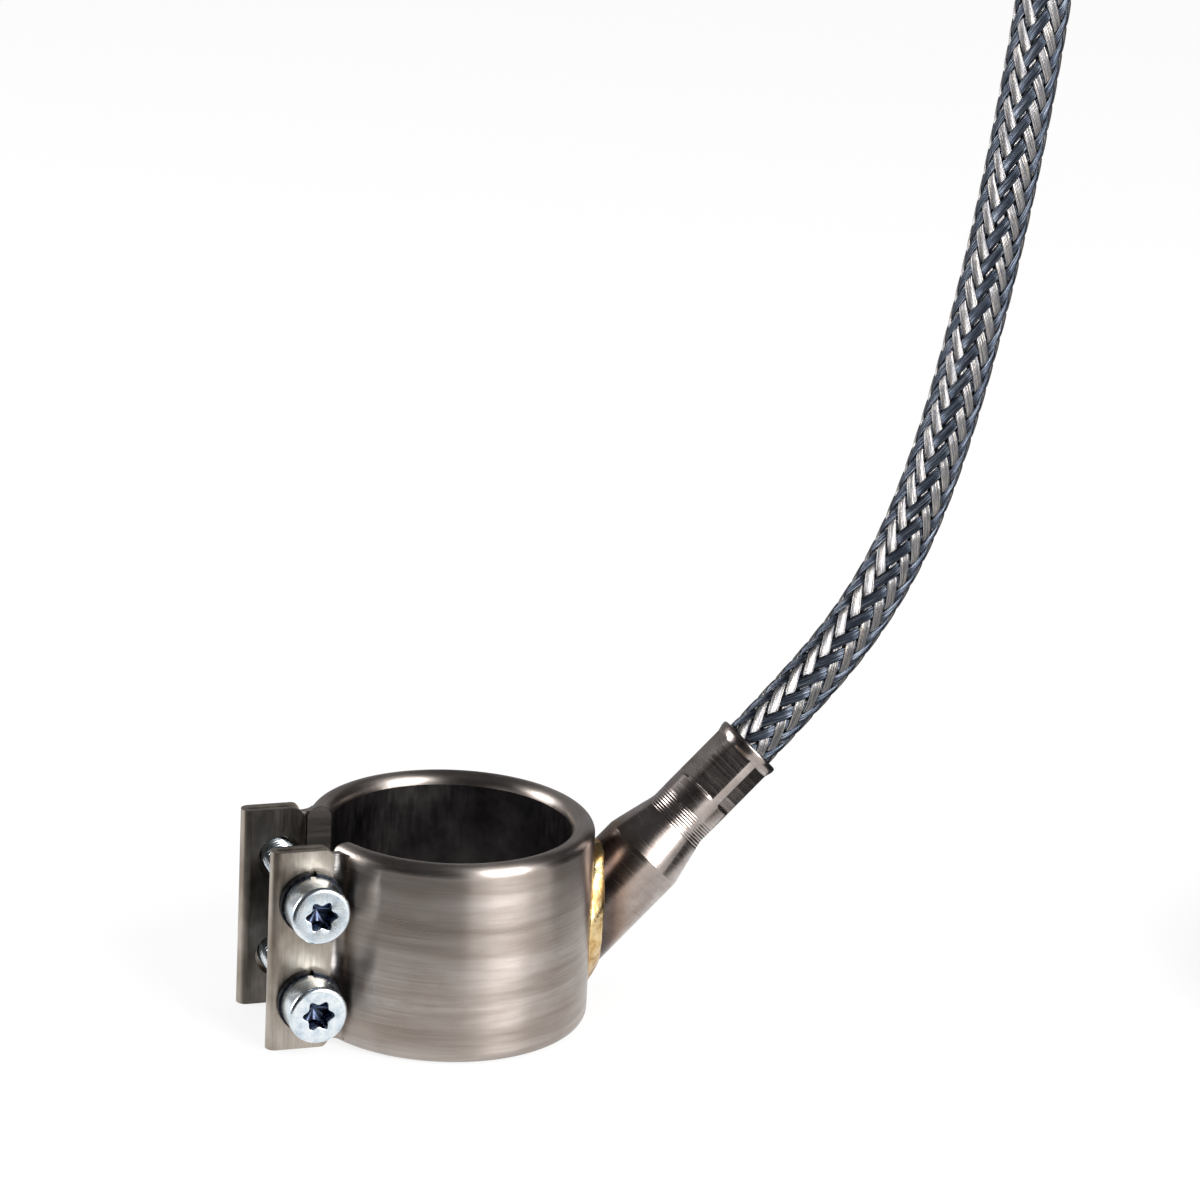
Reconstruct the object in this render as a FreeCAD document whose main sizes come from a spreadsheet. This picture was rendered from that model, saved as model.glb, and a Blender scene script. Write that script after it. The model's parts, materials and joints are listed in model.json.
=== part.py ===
"""Nozzle band heater: a sealed, split heating ring closed by two clamp screws, with a brazed
45 degree outlet for its braided lead.

The axis of the bore is Z and the origin lies on it at half the band's width. The outlet leaves
towards +X, the gap between the ears faces -X, and the screws' heads face -Y. Lengths are in
millimetres. Each size is written once, in the spreadsheet, and everything else follows from it.
"""
import FreeCAD, Part
import math
import os
import Sketcher
from FreeCAD import Placement, Rotation, Vector
from types import SimpleNamespace

document = FreeCAD.newDocument("band_heater")


# ---- sizes that know their own expression ------------------------------------------------------

class Size:
    """A number together with the spreadsheet expression that gives it."""

    def __init__(self, value, text):
        self.value = float(value)
        self.text = text

    def join(self, other, sign, result):
        return Size(result, f"({self.text} {sign} {as_size(other).text})")

    def __add__(self, other):
        return self.join(other, "+", self.value + as_size(other).value)

    def __sub__(self, other):
        return self.join(other, "-", self.value - as_size(other).value)

    def __mul__(self, other):
        return self.join(other, "*", self.value * as_size(other).value)

    def __truediv__(self, other):
        return self.join(other, "/", self.value / as_size(other).value)

    def __radd__(self, other):
        return as_size(other) + self

    def __rsub__(self, other):
        return as_size(other) - self

    def __rmul__(self, other):
        return as_size(other) * self

    def __neg__(self):
        return as_size(0) - self


def as_size(number):
    return number if isinstance(number, Size) else Size(number, repr(float(number)))


def root_of(size):
    return Size(math.sqrt(size.value), f"sqrt({size.text})")


def cosine(angle):
    return Size(math.cos(math.radians(angle.value)), f"cos({angle.text})")


def sine(angle):
    return Size(math.sin(math.radians(angle.value)), f"sin({angle.text})")


SIZES = {
    # the ring
    "bore_diameter": 35,
    "wall_thickness": 3.3,
    "band_width": 30,
    "jacket_sheet": 0.5,
    "liner_sheet": 0.4,
    "gap_width": 14.4,
    # the element inside it
    "mica_inner_thickness": 0.35,
    "mica_outer_thickness": 0.6,
    "card_thickness": 0.5,
    "ribbon_thickness": 0.15,
    "ribbon_width": 1.3,
    "ribbon_pitch": 2.6,
    "card_inset": 1.4,
    "layer_play": 0.04,
    "slant_room": 0.3,
    "pad_height": 2.6,
    "pad_gap": 1.5,
    "pad_reach": 3.3,
    # the ears
    "ear_sheet": 0.9,
    "leg_clearance": 0.2,
    "hole_margin": 0.3,
    "leg_difference": 0.5,
    "fold_distance": 5.7,
    "inner_corner": 2.2,
    "outer_corner": 1.2,
    "web_step": 0.9,
    # the clamp screws, their washers and nuts
    "screw_spacing": 15,
    "screw_diameter": 5,
    "screw_length": 25,
    "tip_chamfer": 0.5,
    "head_diameter": 8.5,
    "head_height": 5,
    "head_round": 0.6,
    "recess_width": 4.5,
    "recess_root": 3.25,
    "recess_depth": 2.8,
    "washer_diameter": 9.2,
    "washer_bore": 5.2,
    "washer_thickness": 1.2,
    "washer_split": 1.0,
    "screw_hole": 5.3,
    "wide_hole": 6.7,
    "nut_width": 8,
    "nut_height": 4,
    "thread_play": 0.05,
    # the lead outlet, with distances along its own axis from the ring's outer face
    "outlet_drop": 1.7,
    "outlet_tilt": 45,
    "barrel_diameter": 13,
    "barrel_wall": 1.0,
    "barrel_length": 12.4,
    "shoulder_length": 7.2,
    "neck_diameter": 9.6,
    "neck_length": 5.6,
    "crimp_length": 7,
    "crimp_width": 8.9,
    "mouth_length": 2.6,
    "mouth_flare": 0.3,
    "braze_width": 1.4,
    "braze_reach": 1.9,
    "passage_diameter": 7,
    "seam_play": 0.02,
    # the lead and what is joined to it
    "lead_diameter": 8,
    "lead_play": 0.05,
    "lead_stop": 20.5,
    "core_diameter": 2.4,
    "core_offset": 1.75,
    "wire_diameter": 1.0,
    "terminal_diameter": 2.7,
    "terminal_start": 2.5,
    "terminal_length": 6,
    "outlet_liner_thickness": 0.5,
    "outlet_liner_length": 6.0,
    "coil_diameter": 80,
    "coil_height": 27.4,
    "end_sleeve_diameter": 9.2,
    "end_sleeve_length": 14,
    "end_core_length": 22.4,
    "ferrule_diameter": 1.9,
    "ferrule_length": 8,
    "tail_length": 28,
    "coil_x": 164.7,
    "coil_y": -36.3,
    "rest_clearance": 0.1,
}


def write_sizes():
    """Write the driving sizes into a spreadsheet, and return each under its own name."""
    sheet = document.addObject("Spreadsheet::Sheet", "Sizes")
    for row, (alias, value) in enumerate(SIZES.items(), 1):
        sheet.set(f"A{row}", alias)
        sheet.set(f"B{row}", str(value))
        sheet.setAlias(f"B{row}", alias)
    return SimpleNamespace(**{alias: Size(value, f"Sizes.{alias}") for alias, value in SIZES.items()})


s = write_sizes()

# values that follow from them
bore_radius = s.bore_diameter / 2
outer_radius = bore_radius + s.wall_thickness
half_width = s.band_width / 2
rim_radius = s.wall_thickness / 2
rim_start = half_width - rim_radius
rim_centre = bore_radius + rim_radius
half_gap = s.gap_width / 2
cavity_radius = outer_radius - s.jacket_sheet
web_inside = half_gap + s.ear_sheet
web_outside = half_gap + 2 * s.ear_sheet
ear_outside = half_gap + 3 * s.ear_sheet
fold_radius = 1.5 * s.ear_sheet
inner_leg_end = root_of(outer_radius * outer_radius - half_gap * half_gap) + s.leg_clearance
outer_leg_end = inner_leg_end + s.leg_difference
screw_offset = inner_leg_end + s.hole_margin + s.wide_hole / 2
fold_centre = screw_offset + s.fold_distance - fold_radius
web_half_height = half_width - s.web_step
mica_inner_start = bore_radius + s.liner_sheet + s.layer_play
mica_inner_end = mica_inner_start + s.mica_inner_thickness
card_start = mica_inner_end + s.layer_play + s.ribbon_thickness + s.slant_room
card_end = card_start + s.card_thickness
ribbon_outer = card_end + s.ribbon_thickness
mica_outer_start = ribbon_outer + 3 * s.layer_play
mica_half_height = rim_start - s.layer_play
card_half_height = mica_half_height - s.card_inset
screw_heights = {"upper": s.screw_spacing / 2, "lower": -s.screw_spacing / 2}
neck_start = s.barrel_length + s.shoulder_length
crimp_start = neck_start + s.neck_length
crimp_end = crimp_start + s.crimp_length
outlet_length = crimp_end + s.mouth_length
lead_radius = s.lead_diameter / 2
along_x = sine(s.outlet_tilt)
along_z = cosine(s.outlet_tilt)


# ---- helpers -----------------------------------------------------------------------------------

def place(item, x=0, y=0, z=0, rotation=None):
    """Set an object's place, with each coordinate bound to its expression."""
    base = [as_size(value) for value in (x, y, z)]
    item.Placement = Placement(Vector(*[value.value for value in base]), rotation or Rotation())
    for letter, value in zip("xyz", base):
        item.setExpression(f"Placement.Base.{letter}", value.text)
    return item


def box(label, low, high):
    """A box between two corners, each coordinate a Size or a number."""
    item = document.addObject("Part::Box", label)
    low = [as_size(value) for value in low]
    high = [as_size(value) for value in high]
    for side, start, stop in zip(("Length", "Width", "Height"), low, high):
        item.setExpression(side, (stop - start).text)
    return place(item, *low)


def cylinder(label, radius, height, base=(0, 0, 0), rotation=None):
    item = document.addObject("Part::Cylinder", label)
    item.setExpression("Radius", as_size(radius).text)
    item.setExpression("Height", as_size(height).text)
    return place(item, *base, rotation=rotation)


def cut(label, base, tool):
    item = document.addObject("Part::Cut", label)
    item.Base = base
    item.Tool = tool
    return item


def fuse(label, pieces):
    item = document.addObject("Part::MultiFuse", label)
    item.Shapes = pieces
    item.Refine = True
    return item


def mirror_to_front(label, source):
    """The same piece on the other side of the XZ plane."""
    item = document.addObject("Part::Mirroring", label)
    item.Source = source
    item.Normal = Vector(0, 1, 0)
    return item


def draw_outline(sketch, corners, arcs=None):
    """Draw a closed outline whose corners are bound to expressions.

    arcs maps the number of an edge, counted from its first corner, to the centre of its arc and
    to 1 or -1 for an arc that runs anticlockwise or clockwise.
    """
    arcs = arcs or {}
    corners = [(as_size(x), as_size(y)) for x, y in corners]
    count = len(corners)
    for number in range(count):
        start = Vector(corners[number][0].value, corners[number][1].value, 0)
        stop_x, stop_y = corners[(number + 1) % count]
        stop = Vector(stop_x.value, stop_y.value, 0)
        if number not in arcs:
            sketch.addGeometry(Part.LineSegment(start, stop), False)
            continue
        centre_x, centre_y, turn = arcs[number]
        centre = Vector(as_size(centre_x).value, as_size(centre_y).value, 0)
        circle = Part.Circle(centre, Vector(0, 0, 1), (start - centre).Length)
        ends = [math.atan2((end - centre).y, (end - centre).x) for end in (start, stop)]
        first, last = ends if turn > 0 else ends[::-1]
        sketch.addGeometry(Part.ArcOfCircle(circle, first, last), False)

    def end_of(number, which):
        """Which end of an edge's geometry its first or last corner is."""
        clockwise = number in arcs and arcs[number][2] < 0
        return 3 - which if clockwise else which

    for number in range(count):
        following = (number + 1) % count
        sketch.addConstraint(Sketcher.Constraint("Coincident", number, end_of(number, 2),
                                                 following, end_of(following, 1)))
    for number, (x, y) in enumerate(corners):
        for kind, value in (("DistanceX", x), ("DistanceY", y)):
            bind(sketch, kind, (-1, 1, number, end_of(number, 1)), value)
    for number, (centre_x, centre_y, _) in arcs.items():
        start, stop = corners[number], corners[(number + 1) % count]
        level = abs(start[1].value - stop[1].value) < abs(start[0].value - stop[0].value)
        kind, value = ("DistanceY", centre_y) if level else ("DistanceX", centre_x)
        bind(sketch, kind, (-1, 1, number, 3), as_size(value))
    return sketch


def bind(sketch, kind, ends, value):
    """Add one dimension to a sketch and bind it to an expression."""
    index = sketch.addConstraint(Sketcher.Constraint(kind, *ends, value.value))
    sketch.setExpression(f"Constraints[{index}]", value.text)


UPRIGHT = Rotation(Vector(1, 0, 0), 90)          # a sketch's x and y become X and Z
TOWARDS_HEADS = Rotation(Vector(1, 0, 0), 90)    # a piece's own Z becomes -Y
TOWARDS_REAR = Rotation(Vector(1, 0, 0), -90)    # a piece's own Z becomes +Y


def free_sketch(label, corners, arcs=None, rotation=None):
    sketch = document.addObject("Sketcher::SketchObject", label)
    sketch.Placement = Placement(Vector(), rotation or Rotation())
    return draw_outline(sketch, corners, arcs)


def turned(label, corners, arcs=None):
    """A piece turned about Z from a profile of radii and heights."""
    item = document.addObject("Part::Revolution", label)
    item.Source = free_sketch(label + "_profile", corners, arcs, UPRIGHT)
    item.Axis = Vector(0, 0, 1)
    item.Angle = 360
    item.Solid = True
    return item


def raised(label, outline, low, high):
    """A piece raised along Z from a flat outline, between two heights."""
    item = document.addObject("Part::Extrusion", label)
    item.Base = outline
    item.Dir = Vector(0, 0, 1)
    item.DirMode = "Custom"
    item.Solid = True
    item.setExpression("LengthFwd", as_size(high).text)
    item.setExpression("LengthRev", (-as_size(low)).text)
    return item


def body_sketch(body, label, plane, corners, arcs=None):
    """A sketch on one of a body's own origin planes."""
    sketch = body.newObject("Sketcher::SketchObject", label)
    planes = [part for part in body.Origin.OriginFeatures if part.Role == plane]
    sketch.AttachmentSupport = [(planes[0], "")]
    sketch.MapMode = "FlatFace"
    if corners:
        draw_outline(sketch, corners, arcs)
    return sketch


def circle_in(sketch, x, y, radius):
    """A circle in a sketch, with its centre and radius bound."""
    x, y, radius = as_size(x), as_size(y), as_size(radius)
    index = sketch.addGeometry(Part.Circle(Vector(x.value, y.value, 0), Vector(0, 0, 1), radius.value))
    bind(sketch, "DistanceX", (-1, 1, index, 3), x)
    bind(sketch, "DistanceY", (-1, 1, index, 3), y)
    bind(sketch, "Radius", (index,), radius)


def outlet_point(distance, rise=0, side=0):
    """A point in the outlet's own frame: along its axis, across it upwards, and across it in Y."""
    x = outer_radius + along_x * distance - along_z * rise
    z = along_z * distance + along_x * rise - s.outlet_drop
    return x, as_size(side), z


def outlet_rotation():
    return Rotation(Vector(0, 1, 0), s.outlet_tilt.value)


def aim_along_outlet(item):
    """Tilt a placed object so that its own Z runs along the outlet."""
    item.Placement = Placement(item.Placement.Base, outlet_rotation())
    return item


def outlet_cylinder(label, radius, start, stop, rise=0, side=0):
    item = cylinder(label, radius, as_size(stop) - start, outlet_point(start, rise, side))
    return aim_along_outlet(item)


nodes = []


def node(item, name):
    """Name a finished sub-part."""
    item.Label = name
    nodes.append(item)
    return item


# ---- the ring ----------------------------------------------------------------------------------

def rounded_section(inset):
    """Corners and arcs of the ring's section, with half-round rims, moved in by an inset."""
    inner = bore_radius + inset
    outer = outer_radius - inset
    top = half_width - inset
    corners = [(inner, -rim_start), (rim_centre, -top), (outer, -rim_start),
               (outer, rim_start), (rim_centre, top), (inner, rim_start)]
    arcs = {0: (rim_centre, -rim_start, 1), 1: (rim_centre, -rim_start, 1),
            3: (rim_centre, rim_start, 1), 4: (rim_centre, rim_start, 1)}
    return corners, arcs


def gap_block(label, half_opening):
    """What is taken away on the ears' side, between two planes along X."""
    reach = outer_radius + 10
    return box(label, (-reach, -half_opening, -half_width - 1), (0, half_opening, half_width + 1))


def passage(label):
    """The slanting hole through which the wires leave the ring."""
    return outlet_cylinder(label, s.passage_diameter / 2, -s.wall_thickness * 3, s.barrel_length / 2)


def web_outline():
    """The web that carries an ear, blended into the ring by an arc that touches both."""
    blend = ((outer_leg_end * outer_leg_end + web_outside * web_outside
              - outer_radius * outer_radius) / (2 * (outer_radius - web_outside)))
    share = outer_radius / (outer_radius + blend)
    touch_x = outer_leg_end * share
    touch_y = (web_outside + blend) * share
    depth = cavity_radius / outer_radius
    inside_x = root_of(cavity_radius * cavity_radius - web_inside * web_inside)
    corners = [(-fold_centre, web_inside), (-inside_x, web_inside),
               (-touch_x * depth, touch_y * depth), (-touch_x, touch_y),
               (-outer_leg_end, web_outside), (-fold_centre, web_outside)]
    arcs = {3: (-outer_leg_end, web_outside + blend, -1)}
    return free_sketch("web_outline", corners, arcs)


def screw_holes(label, diameter):
    """A pair of round holes along Y, through both ears."""
    holes = [cylinder(f"{label}_{level}", diameter / 2, 4 * ear_outside,
                      (-screw_offset, -2 * ear_outside, height), TOWARDS_REAR)
             for level, height in screw_heights.items()]
    return fuse(label, holes)


def outer_jacket():
    """Folded sheet: outer wall, rims, the walls that close the ring at the gap, and both webs."""
    ring = cut("ring_with_gap", turned("ring", *rounded_section(as_size(0))),
               gap_block("gap", half_gap))
    corners, arcs = rounded_section(s.jacket_sheet)
    opening = bore_radius - 1
    corners = [(opening, -rim_start)] + corners + [(opening, rim_start)]
    arcs = {number + 1: arc for number, arc in arcs.items()}
    cavity = cut("cavity_between_walls", turned("cavity", corners, arcs),
                 gap_block("end_walls", half_gap + s.jacket_sheet))
    shell = cut("shell", ring, cavity)
    web = raised("web", web_outline(), -web_half_height, web_half_height)
    rear_web = cut("rear_web", web, screw_holes("rear_web_holes", s.wide_hole))
    front_web = cut("front_web", mirror_to_front("front_web_blank", web),
                    screw_holes("front_web_holes", s.screw_hole))
    folded = fuse("folded_sheet", [shell, rear_web, front_web])
    return node(cut("outer_jacket", folded, passage("jacket_passage")), "outer_jacket")


def band(name, inner, outer, half_height, pierced):
    """A layer of the element: an open ring that stops short of the walls at the gap."""
    ring = turned(name + "_ring", [(inner, -half_height), (outer, -half_height),
                                   (outer, half_height), (inner, half_height)])
    clear = half_gap + s.jacket_sheet + s.layer_play
    shape = cut(name + "_open", ring, gap_block(name + "_gap", clear))
    if pierced:
        shape = cut(name + "_pierced", shape, passage(name + "_passage"))
    return node(shape, name)



def heating_ribbon():
    """One flat ribbon wound round the card as a doubled winding on each side of the outlet.

    Each half carries two parallel runs that are joined at the gap, so both ends of the ribbon
    come back to the outlet. Runs cross the card's outer face upright, and its inner face aslant.
    """
    thick, wide = s.ribbon_thickness.value, s.ribbon_width.value
    outside = card_end.value + thick / 2
    inside = card_start.value - 0.4 * s.slant_room.value - thick / 2
    top = card_half_height.value + thick / 2
    pitch = math.degrees(s.ribbon_pitch.value / card_end.value)
    first = math.degrees(s.pad_reach.value / card_end.value)
    edge = half_gap.value + s.jacket_sheet.value + wide
    last = 180 - math.degrees(math.asin(edge / card_end.value))
    runs = int((last - first) / pitch / 2) * 2

    def point(angle, radius, height):
        turn = math.radians(angle)
        return Vector(radius * math.cos(turn), radius * math.sin(turn), height)

    def strip(start, stop, across=wide):
        """A flat length of ribbon between two (angle, radius, height) points."""
        begin, end = point(*start), point(*stop)
        along = (end - begin).normalize()
        facing = point((start[0] + stop[0]) / 2, 1, 0)
        aside = facing.cross(along).normalize()
        facing = along.cross(aside)
        length = (end - begin).Length
        piece = Part.makeBox(length, across, thick, Vector(0, -across / 2, -thick / 2))
        piece.Placement = Placement(begin, Rotation(along, aside, facing, "XZY"))
        return piece

    def over_edge(angle, height):
        """The ribbon's short radial length where it folds over the card's edge."""
        depth = outside - inside + thick
        piece = Part.makeBox(depth, wide, thick, Vector(inside - thick / 2, -wide / 2, -thick / 2))
        piece.Placement = Placement(Vector(0, 0, height), Rotation(Vector(0, 0, 1), angle))
        return piece

    pad_level = -s.outlet_drop.value - (s.core_offset.value / 2 + s.wall_thickness.value / 2)
    pieces = []
    for side in (1, -1):
        for run in range(runs):
            angle = side * (first + run * pitch)
            bottom = pad_level - s.pad_height.value / 2 if run == 0 else -top
            pieces.append(strip((angle, outside, bottom), (angle, outside, top)))
            if run > 0:
                pieces.append(over_edge(angle, -top))
            if run + 2 < runs:
                onward = side * (first + (run + 2) * pitch)
                pieces.append(over_edge(angle, top))
                pieces.append(strip((angle, inside, top), (onward, inside, -top)))
        far = [side * (first + (runs - back) * pitch) for back in (2, 1)]
        joined = outside / math.cos(math.radians(pitch / 2))
        pieces.append(strip((far[0], joined, top - wide / 2), (far[1], joined, top - wide / 2)))
        near = side * math.degrees(s.pad_gap.value / 2 / card_end.value)
        lifted = outside + s.layer_play.value
        pieces.append(strip((near, lifted, pad_level), (side * first, lifted, pad_level),
                            s.pad_height.value))
    link = first + pitch
    for start, stop in ((-link, 0), (0, link)):
        pieces.append(strip((start, inside, wide / 2 - top), (stop, inside, wide / 2 - top)))
    item = document.addObject("Part::Feature", "heating_ribbon")
    item.Shape = pieces[0].multiFuse(pieces[1:]).removeSplitter()
    return node(item, "heating_ribbon")


outer_jacket()
band("inner_sleeve", bore_radius, bore_radius + s.liner_sheet, rim_start, False)
band("inner_mica", mica_inner_start, mica_inner_end, mica_half_height, False)
band("winding_card", card_start, card_end, card_half_height, False)
heating_ribbon()
band("outer_mica", mica_outer_start, mica_outer_start + s.mica_outer_thickness, mica_half_height, True)


# ---- the ears ----------------------------------------------------------------------------------

def round_corners(body, name, base, corner_x, radius):
    """Round the two corners at the free end of a channel's leg."""
    corners = [f"Edge{number}" for number, edge in enumerate(base.Shape.Edges, 1)
               if abs(edge.BoundBox.Center.x + corner_x.value) < 0.01
               and edge.BoundBox.YLength > 0.9 * s.ear_sheet.value
               and edge.BoundBox.ZLength < 0.01]
    rounding = body.newObject("PartDesign::Fillet", name)
    rounding.Base = (base, corners)
    rounding.setExpression("Radius", radius.text)
    document.recompute()
    return rounding


def pierce(body, name, diameter, depth):
    """Both screw holes in a channel, to the same depth on either side of the gap's middle."""
    circles = body_sketch(body, name + "_circles", "XZ_Plane", [])
    for height in screw_heights.values():
        circle_in(circles, -screw_offset, height, diameter / 2)
    pocket = body.newObject("PartDesign::Pocket", name)
    pocket.Profile = circles
    pocket.Midplane = True
    pocket.setExpression("Length", (2 * depth).text)
    body.Tip = pocket


def ear_channel(name, side, inner_hole):
    """Sheet folded round the end of a web: the screws pull on its outer leg."""
    body = document.addObject("PartDesign::Body", name + "_body")
    inner, outer = side * half_gap, side * ear_outside
    corners = [(-inner_leg_end, inner), (-inner_leg_end, side * web_inside),
               (-fold_centre, side * web_inside), (-fold_centre, side * web_outside),
               (-outer_leg_end, side * web_outside), (-outer_leg_end, outer),
               (-fold_centre, outer), (-fold_centre, inner)]
    arcs = {2: (-fold_centre, (inner + outer) / 2, -side),
            6: (-fold_centre, (inner + outer) / 2, side)}
    pad = body.newObject("PartDesign::Pad", name + "_pad")
    pad.Profile = body_sketch(body, name + "_fold", "XY_Plane", corners, arcs)
    pad.Midplane = True
    pad.setExpression("Length", s.band_width.text)
    document.recompute()
    eased = round_corners(body, name + "_inner_corners", pad, inner_leg_end, s.inner_corner)
    round_corners(body, name + "_outer_corners", eased, outer_leg_end, s.outer_corner)
    pierce(body, name + "_holes", s.screw_hole, 2 * ear_outside)
    pierce(body, name + "_inner_holes", inner_hole, web_inside + s.ear_sheet / 2)
    return node(body, name)


ear_channel("front_ear_channel", -1, s.screw_hole)
ear_channel("rear_ear_channel", 1, s.wide_hole)


# ---- screws, washers and nuts ------------------------------------------------------------------

def six_lobe_recess(label):
    """The driver recess: a round core with six bulges of the wall left standing in it."""
    root, reach = s.recess_root / 2, s.recess_width / 2
    lobe = reach / 5
    centre = reach - lobe
    slope = math.cos(math.radians(30))
    bulge = ((root * root + centre * centre - 2 * slope * root * centre - lobe * lobe)
             / (2 * lobe - 2 * root + 2 * slope * centre))
    core = cylinder(label + "_core", reach, s.recess_depth + 1, (0, 0, s.head_height - s.recess_depth))
    walls = []
    for number in range(6):
        turn = math.radians(30 + 60 * number)
        offset = root + bulge
        walls.append(cylinder(f"{label}_wall_{number}", bulge, s.recess_depth + 2,
                              (offset * math.cos(turn), offset * math.sin(turn),
                               s.head_height - s.recess_depth - 0.5)))
    return cut(label, core, fuse(label + "_walls", walls))


def clamp_screw(level):
    """Socket screw; its own Z runs from the tip to the head, with zero under the head."""
    radius, head = s.screw_diameter / 2, s.head_diameter / 2
    shoulder = s.head_height - s.head_round
    corners = [(0, -s.screw_length), (radius - s.tip_chamfer, -s.screw_length),
               (radius, s.tip_chamfer - s.screw_length), (radius, 0), (head, 0),
               (head, shoulder), (head - s.head_round, s.head_height), (0, s.head_height)]
    arcs = {5: (head - s.head_round, shoulder, 1)}
    screw = cut(level + "_screw", turned(level + "_blank", corners, arcs),
                six_lobe_recess(level + "_recess"))
    place(screw, -screw_offset, -(ear_outside + s.washer_thickness), screw_heights[level], TOWARDS_HEADS)
    return node(screw, level + "_clamp_screw")


def lock_washer(level):
    """A split spring washer, flat while it is clamped."""
    ring = cut(level + "_ring", cylinder(level + "_disc", s.washer_diameter / 2, s.washer_thickness),
               cylinder(level + "_bore", s.washer_bore / 2, s.washer_thickness))
    slot = box(level + "_split", (-s.washer_split / 2, 0, 0),
               (s.washer_split / 2, s.washer_diameter, s.washer_thickness))
    washer = cut(level + "_washer", ring, slot)
    place(washer, -screw_offset, -ear_outside, screw_heights[level], TOWARDS_HEADS)
    return node(washer, level + "_lock_washer")


def clamp_nut(level):
    """Hexagon weld nut on the rear ear; its own Z points to the rear."""
    across_corners = s.nut_width / 2 / math.cos(math.radians(30))
    prism = document.addObject("Part::Prism", level + "_hexagon")
    prism.Polygon = 6
    prism.setExpression("Circumradius", across_corners.text)
    prism.setExpression("Height", s.nut_height.text)
    prism.Placement = Placement(Vector(), Rotation(Vector(0, 0, 1), 30))
    thread = cylinder(level + "_thread", s.screw_diameter / 2 + s.thread_play, s.nut_height)
    nut = cut(level + "_nut", prism, thread)
    place(nut, -screw_offset, ear_outside, screw_heights[level], TOWARDS_REAR)
    return node(nut, level + "_clamp_nut")


for level in screw_heights:
    clamp_screw(level)
    lock_washer(level)
    clamp_nut(level)


# ---- the lead outlet ---------------------------------------------------------------------------

def outlet_sleeve():
    """Turned sleeve with an S-shaped shoulder, crimped to a hexagon on the lead."""
    barrel, neck = s.barrel_diameter / 2, s.neck_diameter / 2
    hollow, grip = barrel - s.barrel_wall, lead_radius + s.lead_play
    half_step, half_run = (barrel - neck) / 2, s.shoulder_length / 2
    curve = (half_run * half_run + half_step * half_step) / (2 * half_step)
    middle = (barrel - half_step, s.barrel_length + half_run)
    sunk = -s.barrel_diameter
    corners = [(hollow, sunk), (barrel, sunk), (barrel, s.barrel_length), middle,
               (neck, neck_start), (neck, outlet_length), (grip + s.mouth_flare, outlet_length),
               (grip, outlet_length - 3 * s.mouth_flare), (grip, neck_start), (hollow, s.barrel_length)]
    arcs = {2: (barrel - curve, s.barrel_length, 1), 3: (neck + curve, neck_start, -1)}
    sleeve = turned("turned_sleeve", corners, arcs)
    hexagon = document.addObject("Part::Prism", "crimp_hexagon")
    hexagon.Polygon = 6
    hexagon.setExpression("Circumradius", (s.crimp_width / 2 / math.cos(math.radians(30))).text)
    hexagon.setExpression("Height", s.crimp_length.text)
    place(hexagon, 0, 0, crimp_start)
    tool = cut("crimp_tool", cylinder("crimp_space", s.neck_diameter, s.crimp_length, (0, 0, crimp_start)),
               hexagon)
    crimped = cut("crimped_sleeve", sleeve, tool)
    place(crimped, *outlet_point(0))
    aim_along_outlet(crimped)
    seat = cylinder("sleeve_seat", outer_radius + s.seam_play, 2 * s.band_width, (0, 0, -s.band_width))
    return node(cut("outlet_sleeve", crimped, seat), "outlet_sleeve")


def braze_fillet():
    """The brazed joint: an oval collar that leans with the sleeve and thins out along it."""
    barrel = s.barrel_diameter / 2
    rings = []
    for number, (distance, share) in enumerate(((-s.braze_reach, 1.75), (s.braze_reach, 0.12))):
        margin = s.braze_width * share
        ring = document.addObject("Part::Ellipse", f"braze_oval_{number}")
        ring.setExpression("MajorRadius", (barrel / along_x + margin).text)
        ring.setExpression("MinorRadius", (barrel + margin).text)
        rise = distance * along_z / along_x + margin / 2
        place(ring, outer_radius + distance, 0, rise - s.outlet_drop, Rotation(Vector(0, 1, 0), -90))
        rings.append(ring)
    loft = document.addObject("Part::Loft", "braze_collar")
    loft.Sections = rings
    loft.Solid = True
    loft.Ruled = True
    tube = outlet_cylinder("braze_tube", barrel + s.seam_play, -s.barrel_diameter, s.barrel_length)
    wall = cylinder("braze_wall", outer_radius + s.seam_play, 2 * s.band_width, (0, 0, -s.band_width))
    return node(cut("braze_fillet", loft, fuse("braze_inside", [tube, wall])), "braze_fillet")


CORE_PLACES = {"live": -30, "neutral": 210, "earth": 90}    # degrees round the lead's middle
CORE_FLARE = 0.16                                          # how far the cores spread per length


def core_place(core):
    """Where a core lies in the lead: its rise and its side."""
    turn = math.radians(CORE_PLACES[core])
    return s.core_offset * math.sin(turn), s.core_offset * math.cos(turn)


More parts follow.
